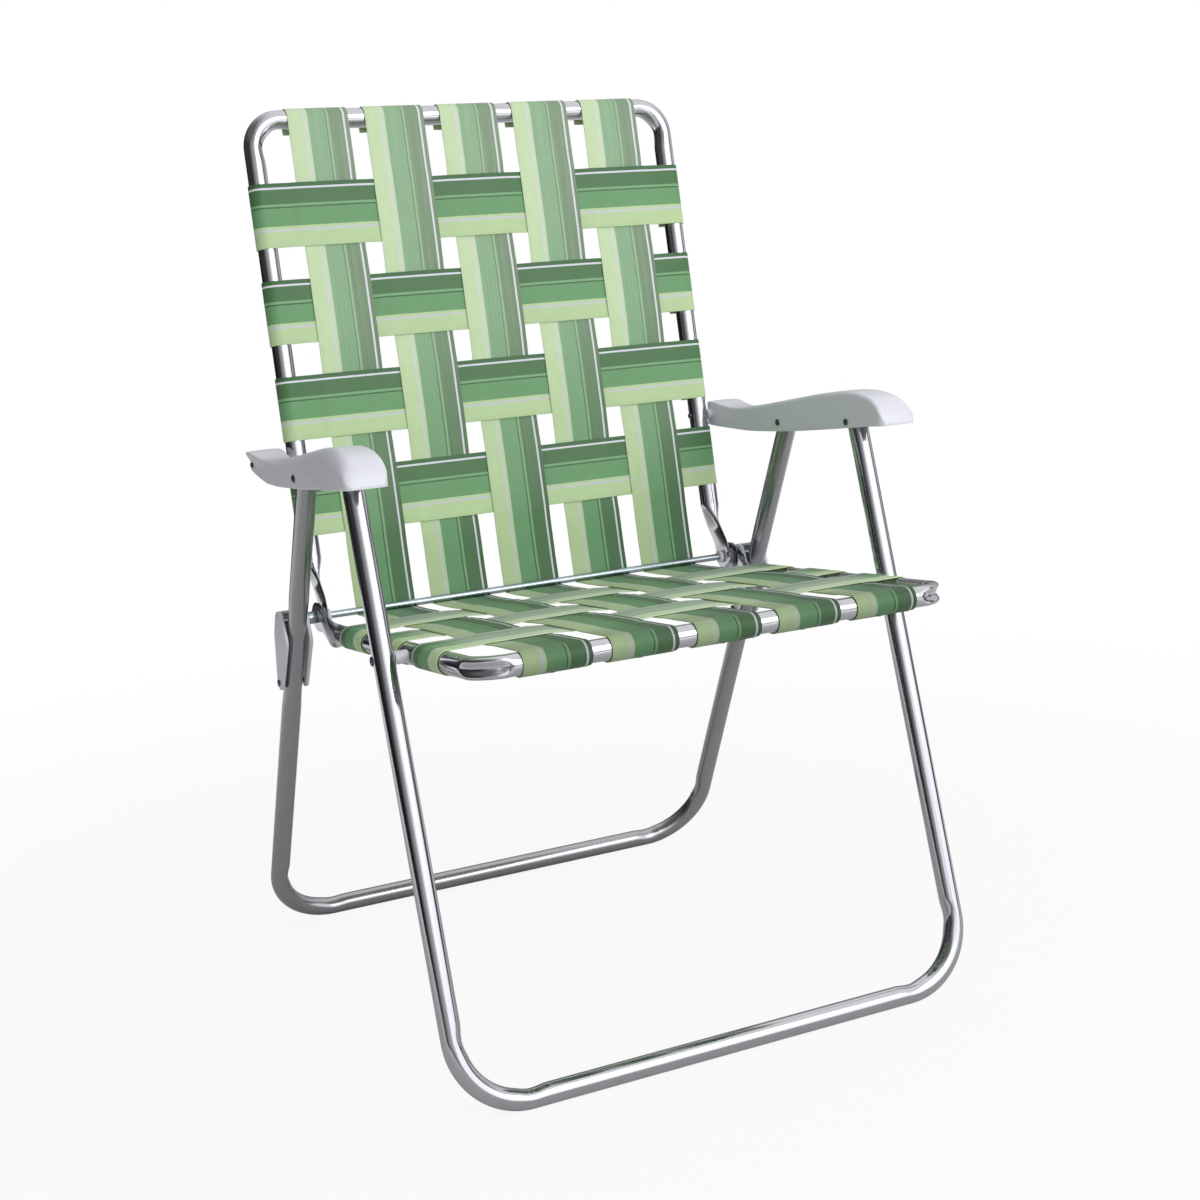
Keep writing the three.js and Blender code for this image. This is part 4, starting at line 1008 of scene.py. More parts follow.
def build_straps(scene):
    sizes, made = scene.chair_web, planes(scene)
    # Painted light and shade along a strap: lighter near the back's top, darker over the seat and
    # darkest on its front wraps
    painted_lighting = (
        (0.0, 1.0), (0.06, 1.12), (0.2, 1.1), (0.36, 0.98), (0.48, 0.82), (0.56, 0.76),
        (0.78, 0.76), (0.82, 0.55), (0.9, 0.52),
    )
    # Painted pale sheen along a strap, strongest near the back's top
    haze = ((0.0, 0.1), (0.05, 0.27), (0.2, 0.22), (0.34, 0.1), (0.45, 0.0))
    material = web_material("web_strap", scene, painted_lighting, haze)
    start, end = (ROD - made[body].along * sizes.hinge for body in ("back", "seat"))
    for strap, x in enumerate(strap_places(sizes)):
        route = evened(strap_route(scene, strap), sizes.step)
        part, long = band(route, None, sizes, x, 1.0)
        piece = new_piece(f"web_strap_{strap + 1}", [part], material, sharp=70.0)
        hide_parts(f"back_strap_{strap + 1}", f"seat_strap_{strap + 1}")
        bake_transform(piece)


def build_rows(scene):
    """Rows across back and seat. Each body has its rows, the side its dark edges are on, and how
    much painted pale sheen lies between the wraps."""
    sizes, made = scene.chair_web, planes(scene)
    lap = scene.chair_tubes.lap_half_width
    gap = sizes.pitch - sizes.width
    rows = (("back", back_rows(scene), -1.0, 0.02), ("seat", seat_rows(scene), 1.0, 0.4))
    for body, places, dark, haze in rows:
        sheen = ((0.0, 0.0), (0.05, 0.0), (0.08, haze), (0.42, haze), (0.45, 0.0))
        material = web_material(f"web_row_{body}", scene, ((0.0, 0.98), (1.0, 0.98)), sheen)
        plane = made[body]
        for number, (at, odd) in enumerate(places):
            crossings = [
                (plane.across * x, row_over(odd, n)) for n, x in enumerate(strap_places(sizes))
            ]
            span = woven(sizes, -lap + sizes.step, lap, crossings, gap)
            left, right = tail_route(sizes, -lap, -1.0)[::-1], tail_route(sizes, lap, 1.0)
            route = evened(np.concatenate([left, span, right]), sizes.step)
            part, long = band(route, plane, sizes, at, dark)
            name, node = f"web_{body}_row_{number + 1}", f"{body}_row_{number + 1}"
            piece = dressed(name, [part], material, body, node, sharp=70.0)


def dome(spot, facing, radius, height, sides=20):
    """A low round head: rings whose radius falls and height rises as a quarter of an ellipse."""
    facing = facing / np.linalg.norm(facing)
    side = np.cross(facing, [1.0, 0.0, 0.0] if abs(facing[0]) < 0.9 else [0.0, 1.0, 0.0])
    side /= np.linalg.norm(side)
    other = np.cross(facing, side)
    angle = np.linspace(0, np.pi / 2, 7)
    rings = np.concatenate([[radius], radius * np.cos(angle[:-1]), [radius * 0.1]])
    rise = np.concatenate([[-height], height * np.sin(angle[:-1]), [height]])
    theta = np.linspace(0, 2 * np.pi, sides, endpoint=False)
    round_about = np.cos(theta)[:, None] * side + np.sin(theta)[:, None] * other
    points = spot + rings[:, None, None] * round_about[None] + rise[:, None, None] * facing
    return ring_grid(points, np.zeros((len(rings), sides + 1, 2)))


def build_fasteners(scene):
    """Small heads through the hems, one on each tail."""
    sizes, made = scene.chair_web, planes(scene)
    lap = scene.chair_tubes.lap_half_width
    material = plated_material("dark_plate_small", scene.chair_finishes.screw, 0.35)
    for body, places in (("back", back_rows(scene)), ("seat", seat_rows(scene))):
        plane, spots = made[body], []
        at, facing = fastener_spot(sizes, 0.0, -1.0)
        for x in strap_places(sizes):
            spots.append(([plane.across * x, *at], [0.0, *facing]))
        for along, _ in places:
            for side in (-1.0, 1.0):
                at, facing = fastener_spot(sizes, side * lap, side)
                spots.append(([at[0], along, at[1]], [facing[0], 0.0, facing[1]]))
        heads = [
            dome(
                plane.place(np.array(at)), plane.turn(np.array(facing)),
                sizes.fastener, sizes.fastener_rise,
            )
            for at, facing in spots
        ]
        dressed(f"web_fasteners_{body}", heads, material, body)


# Turned pieces

# Shares of a head's radius: its dome's height, a recess's arms, and the far head of a pin that
# has two. Then a recess's depth over the height, the arms' half width over their length, and a
# sleeve's open middle over its radius.
HEAD_RISE = 0.38
RECESS_REACH = 0.6
FAR_HEAD = 0.9
RECESS_DEPTH = 0.7
RECESS_WIDTH = 0.24
SLEEVE_MIDDLE = 0.4
HEAD_SIDES = 56


def turned(outline, at, sides=40, recess=0.0, reach=0.0):
    """An outline of (distance from the middle, radius) turned about an X axis through at. A cross
    whose arms are reach long is pressed into the outer end where recess is given."""
    outline = np.asarray(outline, float)
    theta = np.linspace(0, 2 * np.pi, sides + 1)
    far, ring = outline[:, 0:1], outline[:, 1:2]
    flat, upright = ring * np.cos(theta[:-1]), ring * np.sin(theta[:-1])
    if recess:
        narrow = reach * RECESS_WIDTH
        bars = [
            (1 - smooth(narrow * 0.7, narrow * 1.3, np.abs(a)))
            * (1 - smooth(reach * 0.8, reach, np.abs(b)))
            for a, b in ((flat, upright), (upright, flat))
        ]
        far = far - recess * np.maximum(*bars) * (far > far.max() - recess)
    uv = stacked(theta / (2 * np.pi), lengths(outline)[:, None])
    return ring_grid(stacked(far, at[0] + flat, at[1] + upright), uv)


def sleeve(inner, outer, radius, fillet):
    """A spacer's outline, with rounded rims and closed ends against its neighbours."""
    return [
        [inner, radius * SLEEVE_MIDDLE],
        [inner, radius - fillet],
        [inner + fillet * 0.3, radius - fillet * 0.3],
        [inner + fillet, radius],
        [outer - fillet, radius],
        [outer - fillet * 0.3, radius - fillet * 0.3],
        [outer, radius - fillet],
        [outer, radius * SLEEVE_MIDDLE],
    ]


def head_outline(inner, outer, shank, head, height):
    """A pin from inner to outer with a domed head beyond outer, whose crown is fine enough for a
    pressed recess."""
    angle = np.linspace(0, np.pi / 2, 8)
    rise = outer + height * (0.35 + 0.65 * np.sin(angle))
    crown = stacked(rise, head * (0.55 + 0.45 * np.cos(angle))).tolist()
    flat = [[outer + height, head * s] for s in (0.5, 0.42, 0.34, 0.27, 0.2, 0.14, 0.08, 0.03)]
    return [[inner, shank * 0.2], [inner, shank], [outer, shank], [outer, head], *crown, *flat]


def build_sleeves(stem, at, radius, fillet, material, body):
    """A left and a right spacer over their CAD nodes, as wide as these where radius is None."""
    for name, side in SIDES:
        node = f"{stem}_{name}"
        low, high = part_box(node)
        wide = (high.z - low.z) / 2 if radius is None else radius
        part = turned(sleeve(*across(node), wide, fillet), at)
        dressed(f"{node}_turned", [on_side(part, side)], material, body, node)


def build_rod(scene):
    sizes, finishes = scene.chair_hardware, scene.chair_finishes
    zinc = plated_material("zinc_plate", finishes.zinc, 0.3)
    nylon = moulded_material("nylon", finishes.clip, 0.42)
    radius, end, cut = sizes.rod / 2, sizes.rod_half, sizes.fillet
    outline = [[-end, radius * 0.5], [-end, radius - cut], [cut - end, radius]]
    outline += [[x, radius] for x in np.linspace(-end * 0.95, end * 0.95, 30)]
    outline += [[end - cut, radius], [end, radius - cut], [end, radius * 0.5]]
    dressed("hinge_bar", [turned(outline, ROD)], zinc, "back", "hinge_rod")
    rows = (
        ("rod_collar", sizes.collar, nylon, "moulding"),
        ("rod_washer", sizes.washer, nylon, "moulding"),
        ("rod_spacer", sizes.spacer, zinc, "zinc"),
    )
    for stem, diameter, material, slot in rows:
        build_sleeves(stem, ROD, diameter / 2, sizes.fillet, material, "back")


def build_fittings(scene):
    """Rivets, screws, spacers and caps at the pivots, each over its CAD node. A pin through an
    armrest has a head at both ends."""
    sizes, finishes = scene.chair_hardware, scene.chair_finishes
    dark = plated_material("dark_plate", finishes.screw, 0.32)
    nylon = moulded_material("nylon", finishes.clip, 0.42)
    pins = (
        ("front_pivot_rivet", FRONT_PIVOT, sizes.rivet, "armrests"),
        ("rear_pivot_rivet", REAR_PIVOT, sizes.rivet, "armrests"),
        ("back_pivot_screw", BACK_PIVOT, sizes.small * 0.8, "armrests"),
        ("seat_pivot_screw", SEAT_PIVOT, sizes.head, "front_legs"),
        ("clip_rivet_outer", CLIP_PIVOT, sizes.small, "lock_clips"),
        ("clip_rivet_inner", CLIP_PIVOT, sizes.small, "lock_clips"),
    )
    for stem, at, head, body in pins:
        both = body == "armrests"
        height = head * HEAD_RISE
        recess = height * RECESS_DEPTH if stem.endswith("screw") else 0.0
        sunk = sizes.sunk if stem == "seat_pivot_screw" else 0.0
        for name, side in SIDES:
            node = f"{stem}_{name}"
            inner, outer = across(node)
            middle = (inner + outer) / 2
            parts = []
            if stem != "clip_rivet_inner":
                start, stop = middle if both else inner, outer - height - sunk
                outline = head_outline(start, stop, sizes.shank, head, height)
                parts.append(turned(outline, at, HEAD_SIDES, recess, head * RECESS_REACH))
            if both or not parts:
                start, wide = (-middle, head * FAR_HEAD) if both else (-outer, head)
                outline = head_outline(start, -inner - height, sizes.shank, wide, height)
                parts.append(mirrored(turned(outline, at)))
            parts = [on_side(p, side) for p in parts]
            dressed(f"{node}_turned", parts, dark, body, node)
    for stem, at, body in (
        ("back_pivot_spacer", BACK_PIVOT, "armrests"),
        ("seat_pivot_spacer", SEAT_PIVOT, "front_legs"),
        ("seat_pivot_cap", SEAT_PIVOT, "front_legs"),
    ):
        build_sleeves(stem, at, None, sizes.fillet * 1.5, nylon, body)


# Lock clips


def arc_points(middle, radius, start, stop, count):
    return middle + radius * spokes(np.linspace(start, stop, count))


def plate(outline, low, high, fillet):
    """A flat plate: its outline in the side view carried across, drawn in a little at both faces
    so that the edges are round."""
    after, before = np.roll(outline, -1, axis=0), np.roll(outline, 1, axis=0)
    tangent = units(after - before)
    area = (outline[:, 0] * after[:, 1] - after[:, 0] * outline[:, 1]).sum()
    normal = np.stack([tangent[:, 1], -tangent[:, 0]], axis=-1) * np.sign(area)
    angle = np.linspace(0, np.pi / 2, 4)
    inset, rise = fillet * (1 - np.sin(angle)), fillet * (1 - np.cos(angle))
    far = np.concatenate([low + rise, high - rise[::-1]])[:, None]
    view = outline[None] - normal[None] * np.concatenate([inset, inset[::-1]])[:, None, None]
    uv = np.zeros((len(far), len(outline) + 1, 2))
    return ring_grid(stacked(far, view[..., 0], view[..., 1]), uv)


def belt(circles, count=26):
    """The outline of a belt round circles given anticlockwise as (middle, radius). Each arc runs
    between the outer tangents to its neighbours, and a tangent leans from the line between two
    middles by the arcsine of the radii's difference over the line's length."""
    middles = np.array([middle for middle, _ in circles])
    radii = np.array([radius for _, radius in circles])
    reach = np.roll(middles, -1, axis=0) - middles
    lean = np.arcsin((radii - np.roll(radii, -1)) / np.linalg.norm(reach, axis=1))
    leave = np.arctan2(reach[:, 1], reach[:, 0]) - np.pi / 2 + lean
    start = np.roll(leave, 1)
    angle = start[:, None] + ((leave - start) % (2 * np.pi))[:, None] * np.linspace(0, 1, count)
    return (middles[:, None] + radii[:, None, None] * spokes(angle)).reshape(-1, 2)


def build_clips(scene):
    """Two leaf-shaped sides on the rod and on the leg's rivet, joined by a wall behind the rod."""
    sizes = scene.chair_hardware
    material = moulded_material("clip_moulding", scene.chair_finishes.clip, 0.4)
    end = CLIP_PIVOT - ROD
    length, downward = np.linalg.norm(end), np.arctan2(end[1], end[0])
    slant = np.arcsin((sizes.clip_boss - sizes.clip_end) / length)
    rear = downward + np.pi / 2 - slant
    flange = belt(
        [
            (ROD, sizes.clip_boss),
            (ROD - [sizes.clip_front, sizes.clip_drop], sizes.clip_shoulder),
            (CLIP_PIVOT, sizes.clip_end),
            (ROD + [sizes.clip_rear, -sizes.clip_drop], sizes.clip_shoulder),
        ]
    )
    over = rear + np.pi / 2
    down = np.array([np.cos(downward - slant), np.sin(downward - slant)])
    outer = arc_points(ROD, sizes.clip_boss, over, rear, 20)
    inner = arc_points(ROD, sizes.clip_boss - sizes.clip_web, rear, over, 20)
    reach = down * sizes.clip_reach
    wall = np.concatenate([outer, [outer[-1] + reach], [inner[0] + reach], inner])
    low, high = across("lock_clip_right")
    first, last = low + sizes.clip_flange, high - sizes.clip_flange
    right = [
        plate(flange, low, first, sizes.clip_edge),
        plate(flange, last, high, sizes.clip_edge),
        plate(wall, first - sizes.clip_bite, last + sizes.clip_bite, sizes.clip_wall_edge),
    ]
    for name, side in SIDES:
        parts = [on_side(p, side) for p in right]
        dressed(f"clip_{name}", parts, material, "lock_clips", f"lock_clip_{name}")


# Armrests

# The side view: places behind the nose as shares of the length, and there the top's, the skirt's
# and the arch's drops below the highest point as shares of the crest.
ARM_SHARES = np.array(
    [0, 0.0067, 0.02, 0.0427, 0.072, 0.1147, 0.1727, 0.2292, 0.3546, 0.4452, 0.5465, 0.6611]
    + [0.7678, 0.83, 0.86, 0.9, 0.94, 0.98, 1]
)
ARM_TOP_DROPS = np.array(
    [0.616, 0.475, 0.303, 0.16, 0.072, 0.015, 0, 0.038, 0.166, 0.287, 0.424, 0.576]
    + [0.705, 0.756, 0.762, 0.74, 0.7, 0.68, 0.7]
)
ARM_BOTTOM_DROPS = np.array(
    [0.677, 0.68, 0.687, 0.703, 0.727, 0.77, 0.824, 0.881, 1.0, 1.081, 1.162, 1.238]
    + [1.293, 1.3, 1.3, 1.297, 1.293, 1.287, 1.28]
)
ARM_ARCH_SHARES = np.array(
    [0.2412, 0.2586, 0.3055, 0.3892, 0.4878, 0.5942, 0.7, 0.78, 0.84, 0.88, 0.92, 0.96, 1]
)
ARM_ARCH_DROPS = np.array(
    [0.861, 0.798, 0.697, 0.646, 0.697, 0.788, 1.0, 1.26, 1.3, 1.27, 1.23, 1.18, 1.12]
)
# Where along the length the flare fades, the roundings shrink, the top spreads and the channel
# wall's rim rises to the arch, and where the pocket behind the skirt ends.
ARM_FLARE_SHARES = (0.034, 0.6)
ARM_REAR_SHARES = (0.6, 0.9)
ARM_SPREAD_SHARES = (0.8, 0.97)
ARM_HEM_SHARES = (0.8, 0.84)
ARM_POCKET_END = 0.38


def between(start, stop, count):
    """Places strictly between two ends, for whole arrays of ends."""
    return start[:, None] + (stop - start)[:, None] * np.linspace(0, 1, count + 2)[1:-1]


def shoulder(x, top, wide, high, rising):
    """A quarter of an ellipse between an upright side at x and a level top."""
    angle = np.linspace(0, np.pi / 2, 9)
    angle = angle if rising else angle[::-1]
    return (
        x[:, None] + wide[:, None] * (1 - np.cos(angle)),
        top[:, None] - high[:, None] * (1 - np.sin(angle)),
    )


def rim(start, stop, level, lip):
    """A wall's lower rim: down one face, across at a level and up the other, with round corners."""
    toward = np.sign(stop - start)
    turn = (np.minimum(lip, np.abs(stop - start) * 0.45))[:, None]
    angle = np.radians([0, 30, 60, 90])
    cos, sin = 1 - np.cos(angle), 1 - np.sin(angle)
    first = start[:, None] + toward[:, None] * turn * cos
    last = stop[:, None] - toward[:, None] * turn * sin
    heights = level[:, None] + turn * np.concatenate([sin, cos])
    return np.concatenate([first, last], axis=1), heights


def arm_shares(sizes):
    """Stations from nose to rear, close at both ends and in pairs where a hollow begins or ends."""
    evenly = (1 - np.cos(np.linspace(0, np.pi, 170))) / 2
    ends = [sizes.nose_wall / sizes.length, 1 - sizes.wall / sizes.length, ARM_POCKET_END]
    pairs = np.ravel([[end - 1e-4, end + 1e-4] for end in ends])
    start = ARM_ARCH_SHARES[0] + np.linspace(0, 0.014, 12)
    return np.unique(np.concatenate([evenly, pairs, start]))


def arm_shell(sizes, half_width):
    """The right-hand moulding as closed sections from nose to rear. Each section runs up the inner
    side, over the crown, down the flared skirt to its rim, up and down the pocket behind it, round
    the channel wall's rim, through the channel and back along the inner side's rim.
    The skirt stands out by flare times one minus a smooth step, and ends at the arch's line."""
    share = arm_shares(sizes)
    run = share * sizes.length
    nose_y = BACK_PIVOT[0] + sizes.rear - sizes.length
    crest = BACK_PIVOT[1] + sizes.crest
    top = crest - sizes.crest * hermite(ARM_SHARES, ARM_TOP_DROPS, share)
    bottom = crest - sizes.crest * hermite(ARM_SHARES, ARM_BOTTOM_DROPS, share)
    arch = crest - sizes.crest * hermite(ARM_ARCH_SHARES, ARM_ARCH_DROPS, share)
    begun = smooth(ARM_ARCH_SHARES[0], ARM_ARCH_SHARES[0] + 0.006, share)
    skirt = bottom + np.maximum(arch - bottom, 0) * begun
    hem = bottom + np.maximum(arch - bottom, 0) * smooth(*ARM_HEM_SHARES, share)
    flare = sizes.flare * (1 - smooth(*ARM_FLARE_SHARES, share))

    short = np.clip(1 - run / sizes.nose, 0, 1)
    late = np.clip(1 - (sizes.length - run) / sizes.tail, 0, 1)
    draw = sizes.nose * (1 - np.sqrt(1 - short**2)) + sizes.tail * (1 - np.sqrt(1 - late**2))
    spread = sizes.spread * smooth(*ARM_SPREAD_SHARES, share)
    inner = half_width - sizes.width / 2 - spread + draw
    outer = half_width + sizes.width / 2 + flare - draw
    sliver = 2e-5
    middle = np.minimum(half_width + sizes.width / 2, outer - sliver)
    outer_back = np.maximum(outer - sizes.wall, middle + sliver / 2)
    near, far = inner + sizes.wall, middle - sizes.wall

    hollow = (run > sizes.nose_wall) & (run < sizes.length - sizes.wall)
    pocket = hollow & (share < ARM_POCKET_END)
    lip = np.where(hollow, sizes.lip, sliver / 2)
    late = smooth(*ARM_REAR_SHARES, share)
    fronts = (sizes.edge, sizes.drop, sizes.inner_edge)
    edge, drop, near_edge = (size + (sizes.rear_edge - size) * late for size in fronts)
    wide = np.minimum(edge, (outer - inner) * 0.5)
    high = np.min([drop, (top - bottom) * 0.5, (top - skirt - lip) * 0.8], axis=0)
    near_wide = np.minimum(near_edge, (outer - inner) * 0.3)
    near_high = np.minimum(near_edge, (top - bottom) * 0.4)
    roof = np.where(hollow, top - sizes.wall, bottom + sliver)
    far_roof = np.where(hollow, roof, hem + sliver)
    roof_wide = np.where(hollow, np.maximum(wide - sizes.wall, sliver), sliver)
    roof_high = np.where(hollow, np.maximum(high - sizes.wall, sliver), sliver / 4)
    corner = np.where(hollow, np.maximum(near_wide - sizes.wall, sliver), sliver / 4)
    closed = skirt + np.minimum(lip, (outer - outer_back) * 0.45) + sliver
    attic = np.where(pocket, top - 2 * sizes.wall, closed)
    attic_wide = np.where(pocket, np.minimum(roof_wide, (outer_back - middle) * 0.8), sliver / 4)
    attic_high = np.where(pocket, np.minimum(roof_high, (attic - skirt) * 0.6), sliver / 4)

    def level(x, z):
        return x[:, None] + z * 0, z

    across_top = np.stack([inner + near_wide, outer + spread - wide])
    fall = np.linspace(0, 1, 14)[1:-1]
    sections = [
        level(inner, between(bottom + lip, top - near_high, 10)),
        shoulder(inner, top, near_wide, near_high, True),
        (between(*across_top, 9), top[:, None] + np.zeros(9)),
        shoulder(outer + spread, top, -wide, high, False),
        (
            outer[:, None] + spread[:, None] * (1 - smooth(0, 0.6, fall)),
            between(top - high, skirt + lip, 12),
        ),
        rim(outer, outer_back, skirt, lip),
        level(outer_back, between(skirt + lip, attic - attic_high, 2)),
        shoulder(outer_back, attic, -attic_wide, attic_high, True),
        level(middle, attic[:, None]),
        level(middle, between(attic, hem + lip, 8)),
        rim(middle, far, hem, lip),
        level(far, between(hem + lip, far_roof - roof_high, 2)),
        shoulder(far, far_roof, -roof_wide, roof_high, True),
        shoulder(near, roof, corner, corner, False),
        level(near, between(roof - corner, bottom + lip, 2)),
        rim(near, inner, bottom, lip),
    ]
    xs = np.concatenate([x for x, _ in sections], axis=1)
    zs = np.concatenate([z for _, z in sections], axis=1)
    lean = np.clip((xs - inner[:, None]) / (outer + spread - inner)[:, None] * 2 - 1, -1, 1)
    rise = (zs - (top - high)[:, None]) / high[:, None]
    zs = zs - sizes.camber * lean**2 * smooth(0, 1, rise)
    uv = stacked(np.linspace(0, 1, xs.shape[1] + 1), run[:, None])
    return ring_grid(stacked(xs, nose_y + run[:, None], zs), uv)


def build_arms(scene):
    material = moulded_material("arm_moulding", scene.chair_finishes.arm, 0.36)
    part = arm_shell(scene.chair_arms, scene.chair_tubes.leg_half_width)
    for name, side in SIDES:
        parts, node = [on_side(part, side)], f"armrest_{name}"
        dressed(f"arm_{name}", parts, material, "armrests", node, sharp=40.0)


# Stage

# The floor's tone, and how white it is to the camera and in reflections: from a near distance on
# to a far one, and how much at each.
FLOOR_TONE = (0.66, 0.66, 0.66, 1.0)
FLOOR_SEEN = (0.6, 1.8, 0.9, 1.0)
FLOOR_MIRRORED = (0.6, 2.1, 0.0, 1.0)


def build_floor(scene):
    """White for the camera and in reflections, with part of the chair's shadow kept near it."""
    size = scene.chair_stage.floor / 2
    points = np.array([[-size, -size, 0], [size, -size, 0], [size, size, 0], [-size, size, 0]])
    material, g = new_material("stage_floor")
    seen, glossy = g.rays()
    x, y, _ = g.split(g.place())
    far = (x * x + y * y).maths("SQRT")
    seen = seen * g.step(far, *FLOOR_SEEN)
    seen = seen.maths("MAXIMUM", glossy * g.step(far, *FLOOR_MIRRORED))
    plain = g.value("ShaderNodeBsdfDiffuse", None, {"Color": FLOOR_TONE})
    white = g.value("ShaderNodeEmission", None, {"Color": WHITE, "Strength": 1.0})
    mixed = g.value("ShaderNodeMixShader", None, {0: seen, 1: plain, 2: white})
    g.node("ShaderNodeOutputMaterial", None, {"Surface": mixed})
    part = Part(points, np.arange(4), np.array([4]), points[:, :2])
    new_piece("stage_floor", [part], material)


# How bright the studio's walls are round the chair: 0.5 is straight ahead of it, 0.75 on its
# sitter's left, and 0 and 1 behind it. The steps after them run along a direction: from where to
# where, and from which strength to which. They are the dark line at the horizon, the ceiling's
# light from left to right, and the walls' way over into the ceiling.
SKY_BANDS = (
    (0.0, 0.04), (0.3, 0.03), (0.335, 0.1), (0.4, 0.3), (0.46, 0.38), (0.5, 0.5),
    (0.525, 1.0), (0.66, 1.0), (0.675, 0.3), (0.69, 0.05), (0.71, 0.1), (0.735, 0.5),
    (0.8, 0.45), (0.9, 0.22), (0.97, 0.06), (1.0, 0.04),
)
HORIZON = (0.02, 0.09, 0.1, 1.0)
CEILING = (-0.5, 0.2, 0.2, 1.2)
WALL_TOP = (0.35, 0.75, 0.0, 1.0)


def build_world(scene):
    """A sky that is white to the camera, soft light that grows from left to right, and a studio
    of softboxes and dark walls in reflections. The bands go round by the angle from the front."""
    stage = scene.chair_stage
    world = bpy.data.worlds.get("chair_sky") or bpy.data.worlds.new("chair_sky")
    world.use_nodes = True
    scene.world = world
    g = Graph(world.node_tree)
    x, y, z = g.split(g.value("ShaderNodeTexCoord", output=0))
    turn = x.maths("ARCTAN2", y * -1.0) * (0.5 / np.pi) + 0.5
    bands = g.ramp(turn, [(at, (v, v, v * 1.03)) for at, v in SKY_BANDS], "LINEAR")
    horizon = g.step((z + 0.02).maths("ABSOLUTE"), *HORIZON) * stage.studio
    walls = g.mix(1.0, bands, g.grey(horizon), "MULTIPLY")
    ceiling = g.grey(g.step(x, *CEILING))
    studio = g.mix(g.step(z, *WALL_TOP), walls, ceiling)
    light = g.grey((x * stage.slant + z * stage.rise + 1.0) * stage.world)
    seen, glossy = g.rays()
    seen = g.mix(seen, g.mix(glossy, light, studio), WHITE)
    sky = g.value("ShaderNodeBackground", None, {"Color": seen, "Strength": 1.0})
    g.node("ShaderNodeOutputWorld", None, {"Surface": sky})


def aimed(name, data, place, back, roll=0.0):
    """A lamp or camera at a place, looking against back and rolled about it."""
    back = back / np.linalg.norm(back)
    right = np.cross([0.0, 0.0, 1.0], back)
    right /= np.linalg.norm(right)
    up, cos, sin = np.cross(back, right), np.cos(roll), np.sin(roll)
    columns = np.stack([cos * right + sin * up, cos * up - sin * right, back], axis=-1)
    made = bpy.data.objects.new(name, data)
    turn = Matrix(columns.tolist()).to_4x4()
    turn.translation = place
    made.matrix_world = turn
    bpy.context.scene.collection.objects.link(made)
    return made


# The photograph's camera, solved from the tubes' edges: its place, its azimuth, elevation and roll
# in degrees, its lens and sensor in millimetres, and its shift.
CAMERA_PLACE = (-0.8953, -1.8884, 0.8849)
CAMERA_ANGLES = (-25.963, 12.699, -2.944)
CAMERA_LENS = 57.138
CAMERA_SENSOR = 36.0
CAMERA_SHIFT = (-0.00342, 0.01008)
# The round softboxes, each with its place and size, and the middle of the chair, which they face.
LAMPS = (("key", (1.0, -2.7, 2.1), 2.2), ("fill", (-0.4, -3.0, 1.3), 1.8))
LAMP_TARGET = (0.0, 0.0, 0.5)


def build_lamps(scene):
    for name, place, size in LAMPS:
        lamp = bpy.data.lights.new(name, "AREA")
        lamp.shape, lamp.size, lamp.energy = "DISK", size, getattr(scene.chair_stage, name)
        aimed(name, lamp, place, np.subtract(place, LAMP_TARGET))


def build_camera(scene):
    azimuth, elevation, roll = np.radians(CAMERA_ANGLES)
    level = np.cos(elevation)
    back = np.array([np.sin(azimuth) * level, -np.cos(azimuth) * level, np.sin(elevation)])
    data = bpy.data.cameras.new("camera")
    data.sensor_width, data.lens = CAMERA_SENSOR, CAMERA_LENS
    data.shift_x, data.shift_y = CAMERA_SHIFT
    scene.camera = aimed("camera", data, CAMERA_PLACE, back, roll)


def build_stage(scene):
    build_floor(scene)
    build_world(scene)
    build_lamps(scene)
    build_camera(scene)
    scene.view_settings.view_transform = "Standard"


# Operators and panel


class BuildOperator:
    """What every operator here shares: it builds its pieces or raises an error."""

    bl_options = {"REGISTER", "UNDO"}
    build = None

    def execute(self, context):
        type(self).build(context.scene)
        return {"FINISHED"}


class CHAIR_OT_tubes(BuildOperator, bpy.types.Operator):
    """Build the front legs, rear legs, seat and back tubes"""

    bl_idname = "chair.tubes"
    bl_label = "Tube frames"
    build = staticmethod(build_tubes)


class CHAIR_OT_straps(BuildOperator, bpy.types.Operator):
    """Build the five long straps over back and seat"""

    bl_idname = "chair.straps"
    bl_label = "Long straps"
    build = staticmethod(build_straps)


class CHAIR_OT_rows(BuildOperator, bpy.types.Operator):
    """Build the rows woven across the back and the seat"""

    bl_idname = "chair.rows"
    bl_label = "Cross rows"
    build = staticmethod(build_rows)


class CHAIR_OT_fasteners(BuildOperator, bpy.types.Operator):
    """Build the small heads that hold the bands' hems"""

    bl_idname = "chair.fasteners"
    bl_label = "Web fasteners"
    build = staticmethod(build_fasteners)


class CHAIR_OT_rod(BuildOperator, bpy.types.Operator):
    """Build the hinge rod with its collars, washers and spacers"""

    bl_idname = "chair.rod"
    bl_label = "Hinge rod"
    build = staticmethod(build_rod)


class CHAIR_OT_fittings(BuildOperator, bpy.types.Operator):
    """Build the rivets, screws, spacers and caps at the pivots"""

    bl_idname = "chair.fittings"
    bl_label = "Pivot fittings"
    build = staticmethod(build_fittings)


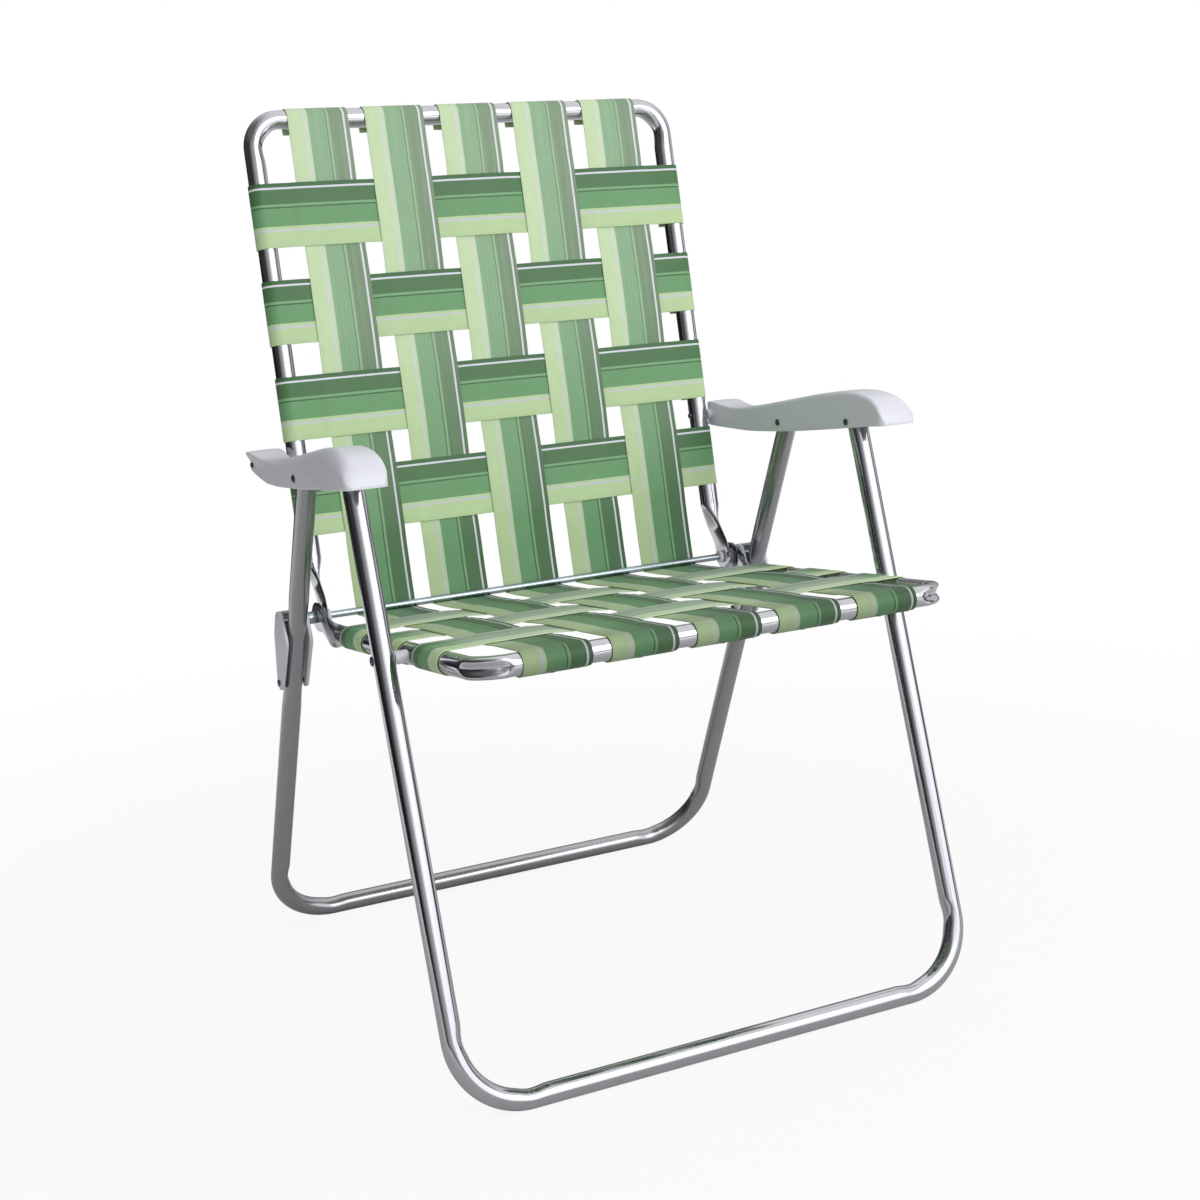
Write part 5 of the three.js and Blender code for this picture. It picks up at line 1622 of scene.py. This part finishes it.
class CHAIR_OT_clips(BuildOperator, bpy.types.Operator):
    """Build the two lock clips"""

    bl_idname = "chair.clips"
    bl_label = "Lock clips"
    build = staticmethod(build_clips)


class CHAIR_OT_arms(BuildOperator, bpy.types.Operator):
    """Build the two moulded armrests"""

    bl_idname = "chair.arms"
    bl_label = "Armrests"
    build = staticmethod(build_arms)


class CHAIR_OT_stage(BuildOperator, bpy.types.Operator):
    """Set the floor, sky, lamps and camera"""

    bl_idname = "chair.stage"
    bl_label = "Stage"
    build = staticmethod(build_stage)


OPERATORS = (
    CHAIR_OT_tubes,
    CHAIR_OT_rod,
    CHAIR_OT_straps,
    CHAIR_OT_rows,
    CHAIR_OT_fasteners,
    CHAIR_OT_fittings,
    CHAIR_OT_clips,
    CHAIR_OT_arms,
    CHAIR_OT_stage,
)


class CHAIR_PT_panel(bpy.types.Panel):
    """Lists the chair's operators and sizes"""

    bl_idname = "CHAIR_PT_panel"
    bl_label = "Lawn chair"
    bl_space_type = "VIEW_3D"
    bl_region_type = "UI"
    bl_category = "Lawn chair"

    def draw(self, context):
        layout = self.layout
        for operator in OPERATORS:
            layout.operator(operator.bl_idname)
        for name, group in GROUPS.items():
            box = layout.box()
            box.label(text=group.__doc__)
            for key in group.__annotations__:
                label = key.replace("_", " ").capitalize()
                box.prop(getattr(context.scene, name), key, text=label)


def register():
    for group in GROUPS.values():
        bpy.utils.register_class(group)
    for name, group in GROUPS.items():
        setattr(bpy.types.Scene, name, PointerProperty(type=group))
    for operator in OPERATORS:
        bpy.utils.register_class(operator)
    bpy.utils.register_class(CHAIR_PT_panel)


def unregister():
    bpy.utils.unregister_class(CHAIR_PT_panel)
    for operator in reversed(OPERATORS):
        bpy.utils.unregister_class(operator)
    for name in GROUPS:
        delattr(bpy.types.Scene, name)
    for group in GROUPS.values():
        bpy.utils.unregister_class(group)


def main():
    register()
    for operator in OPERATORS:
        group, name = operator.bl_idname.split(".")
        getattr(getattr(bpy.ops, group), name)()


if __name__ == "__main__":
    main()
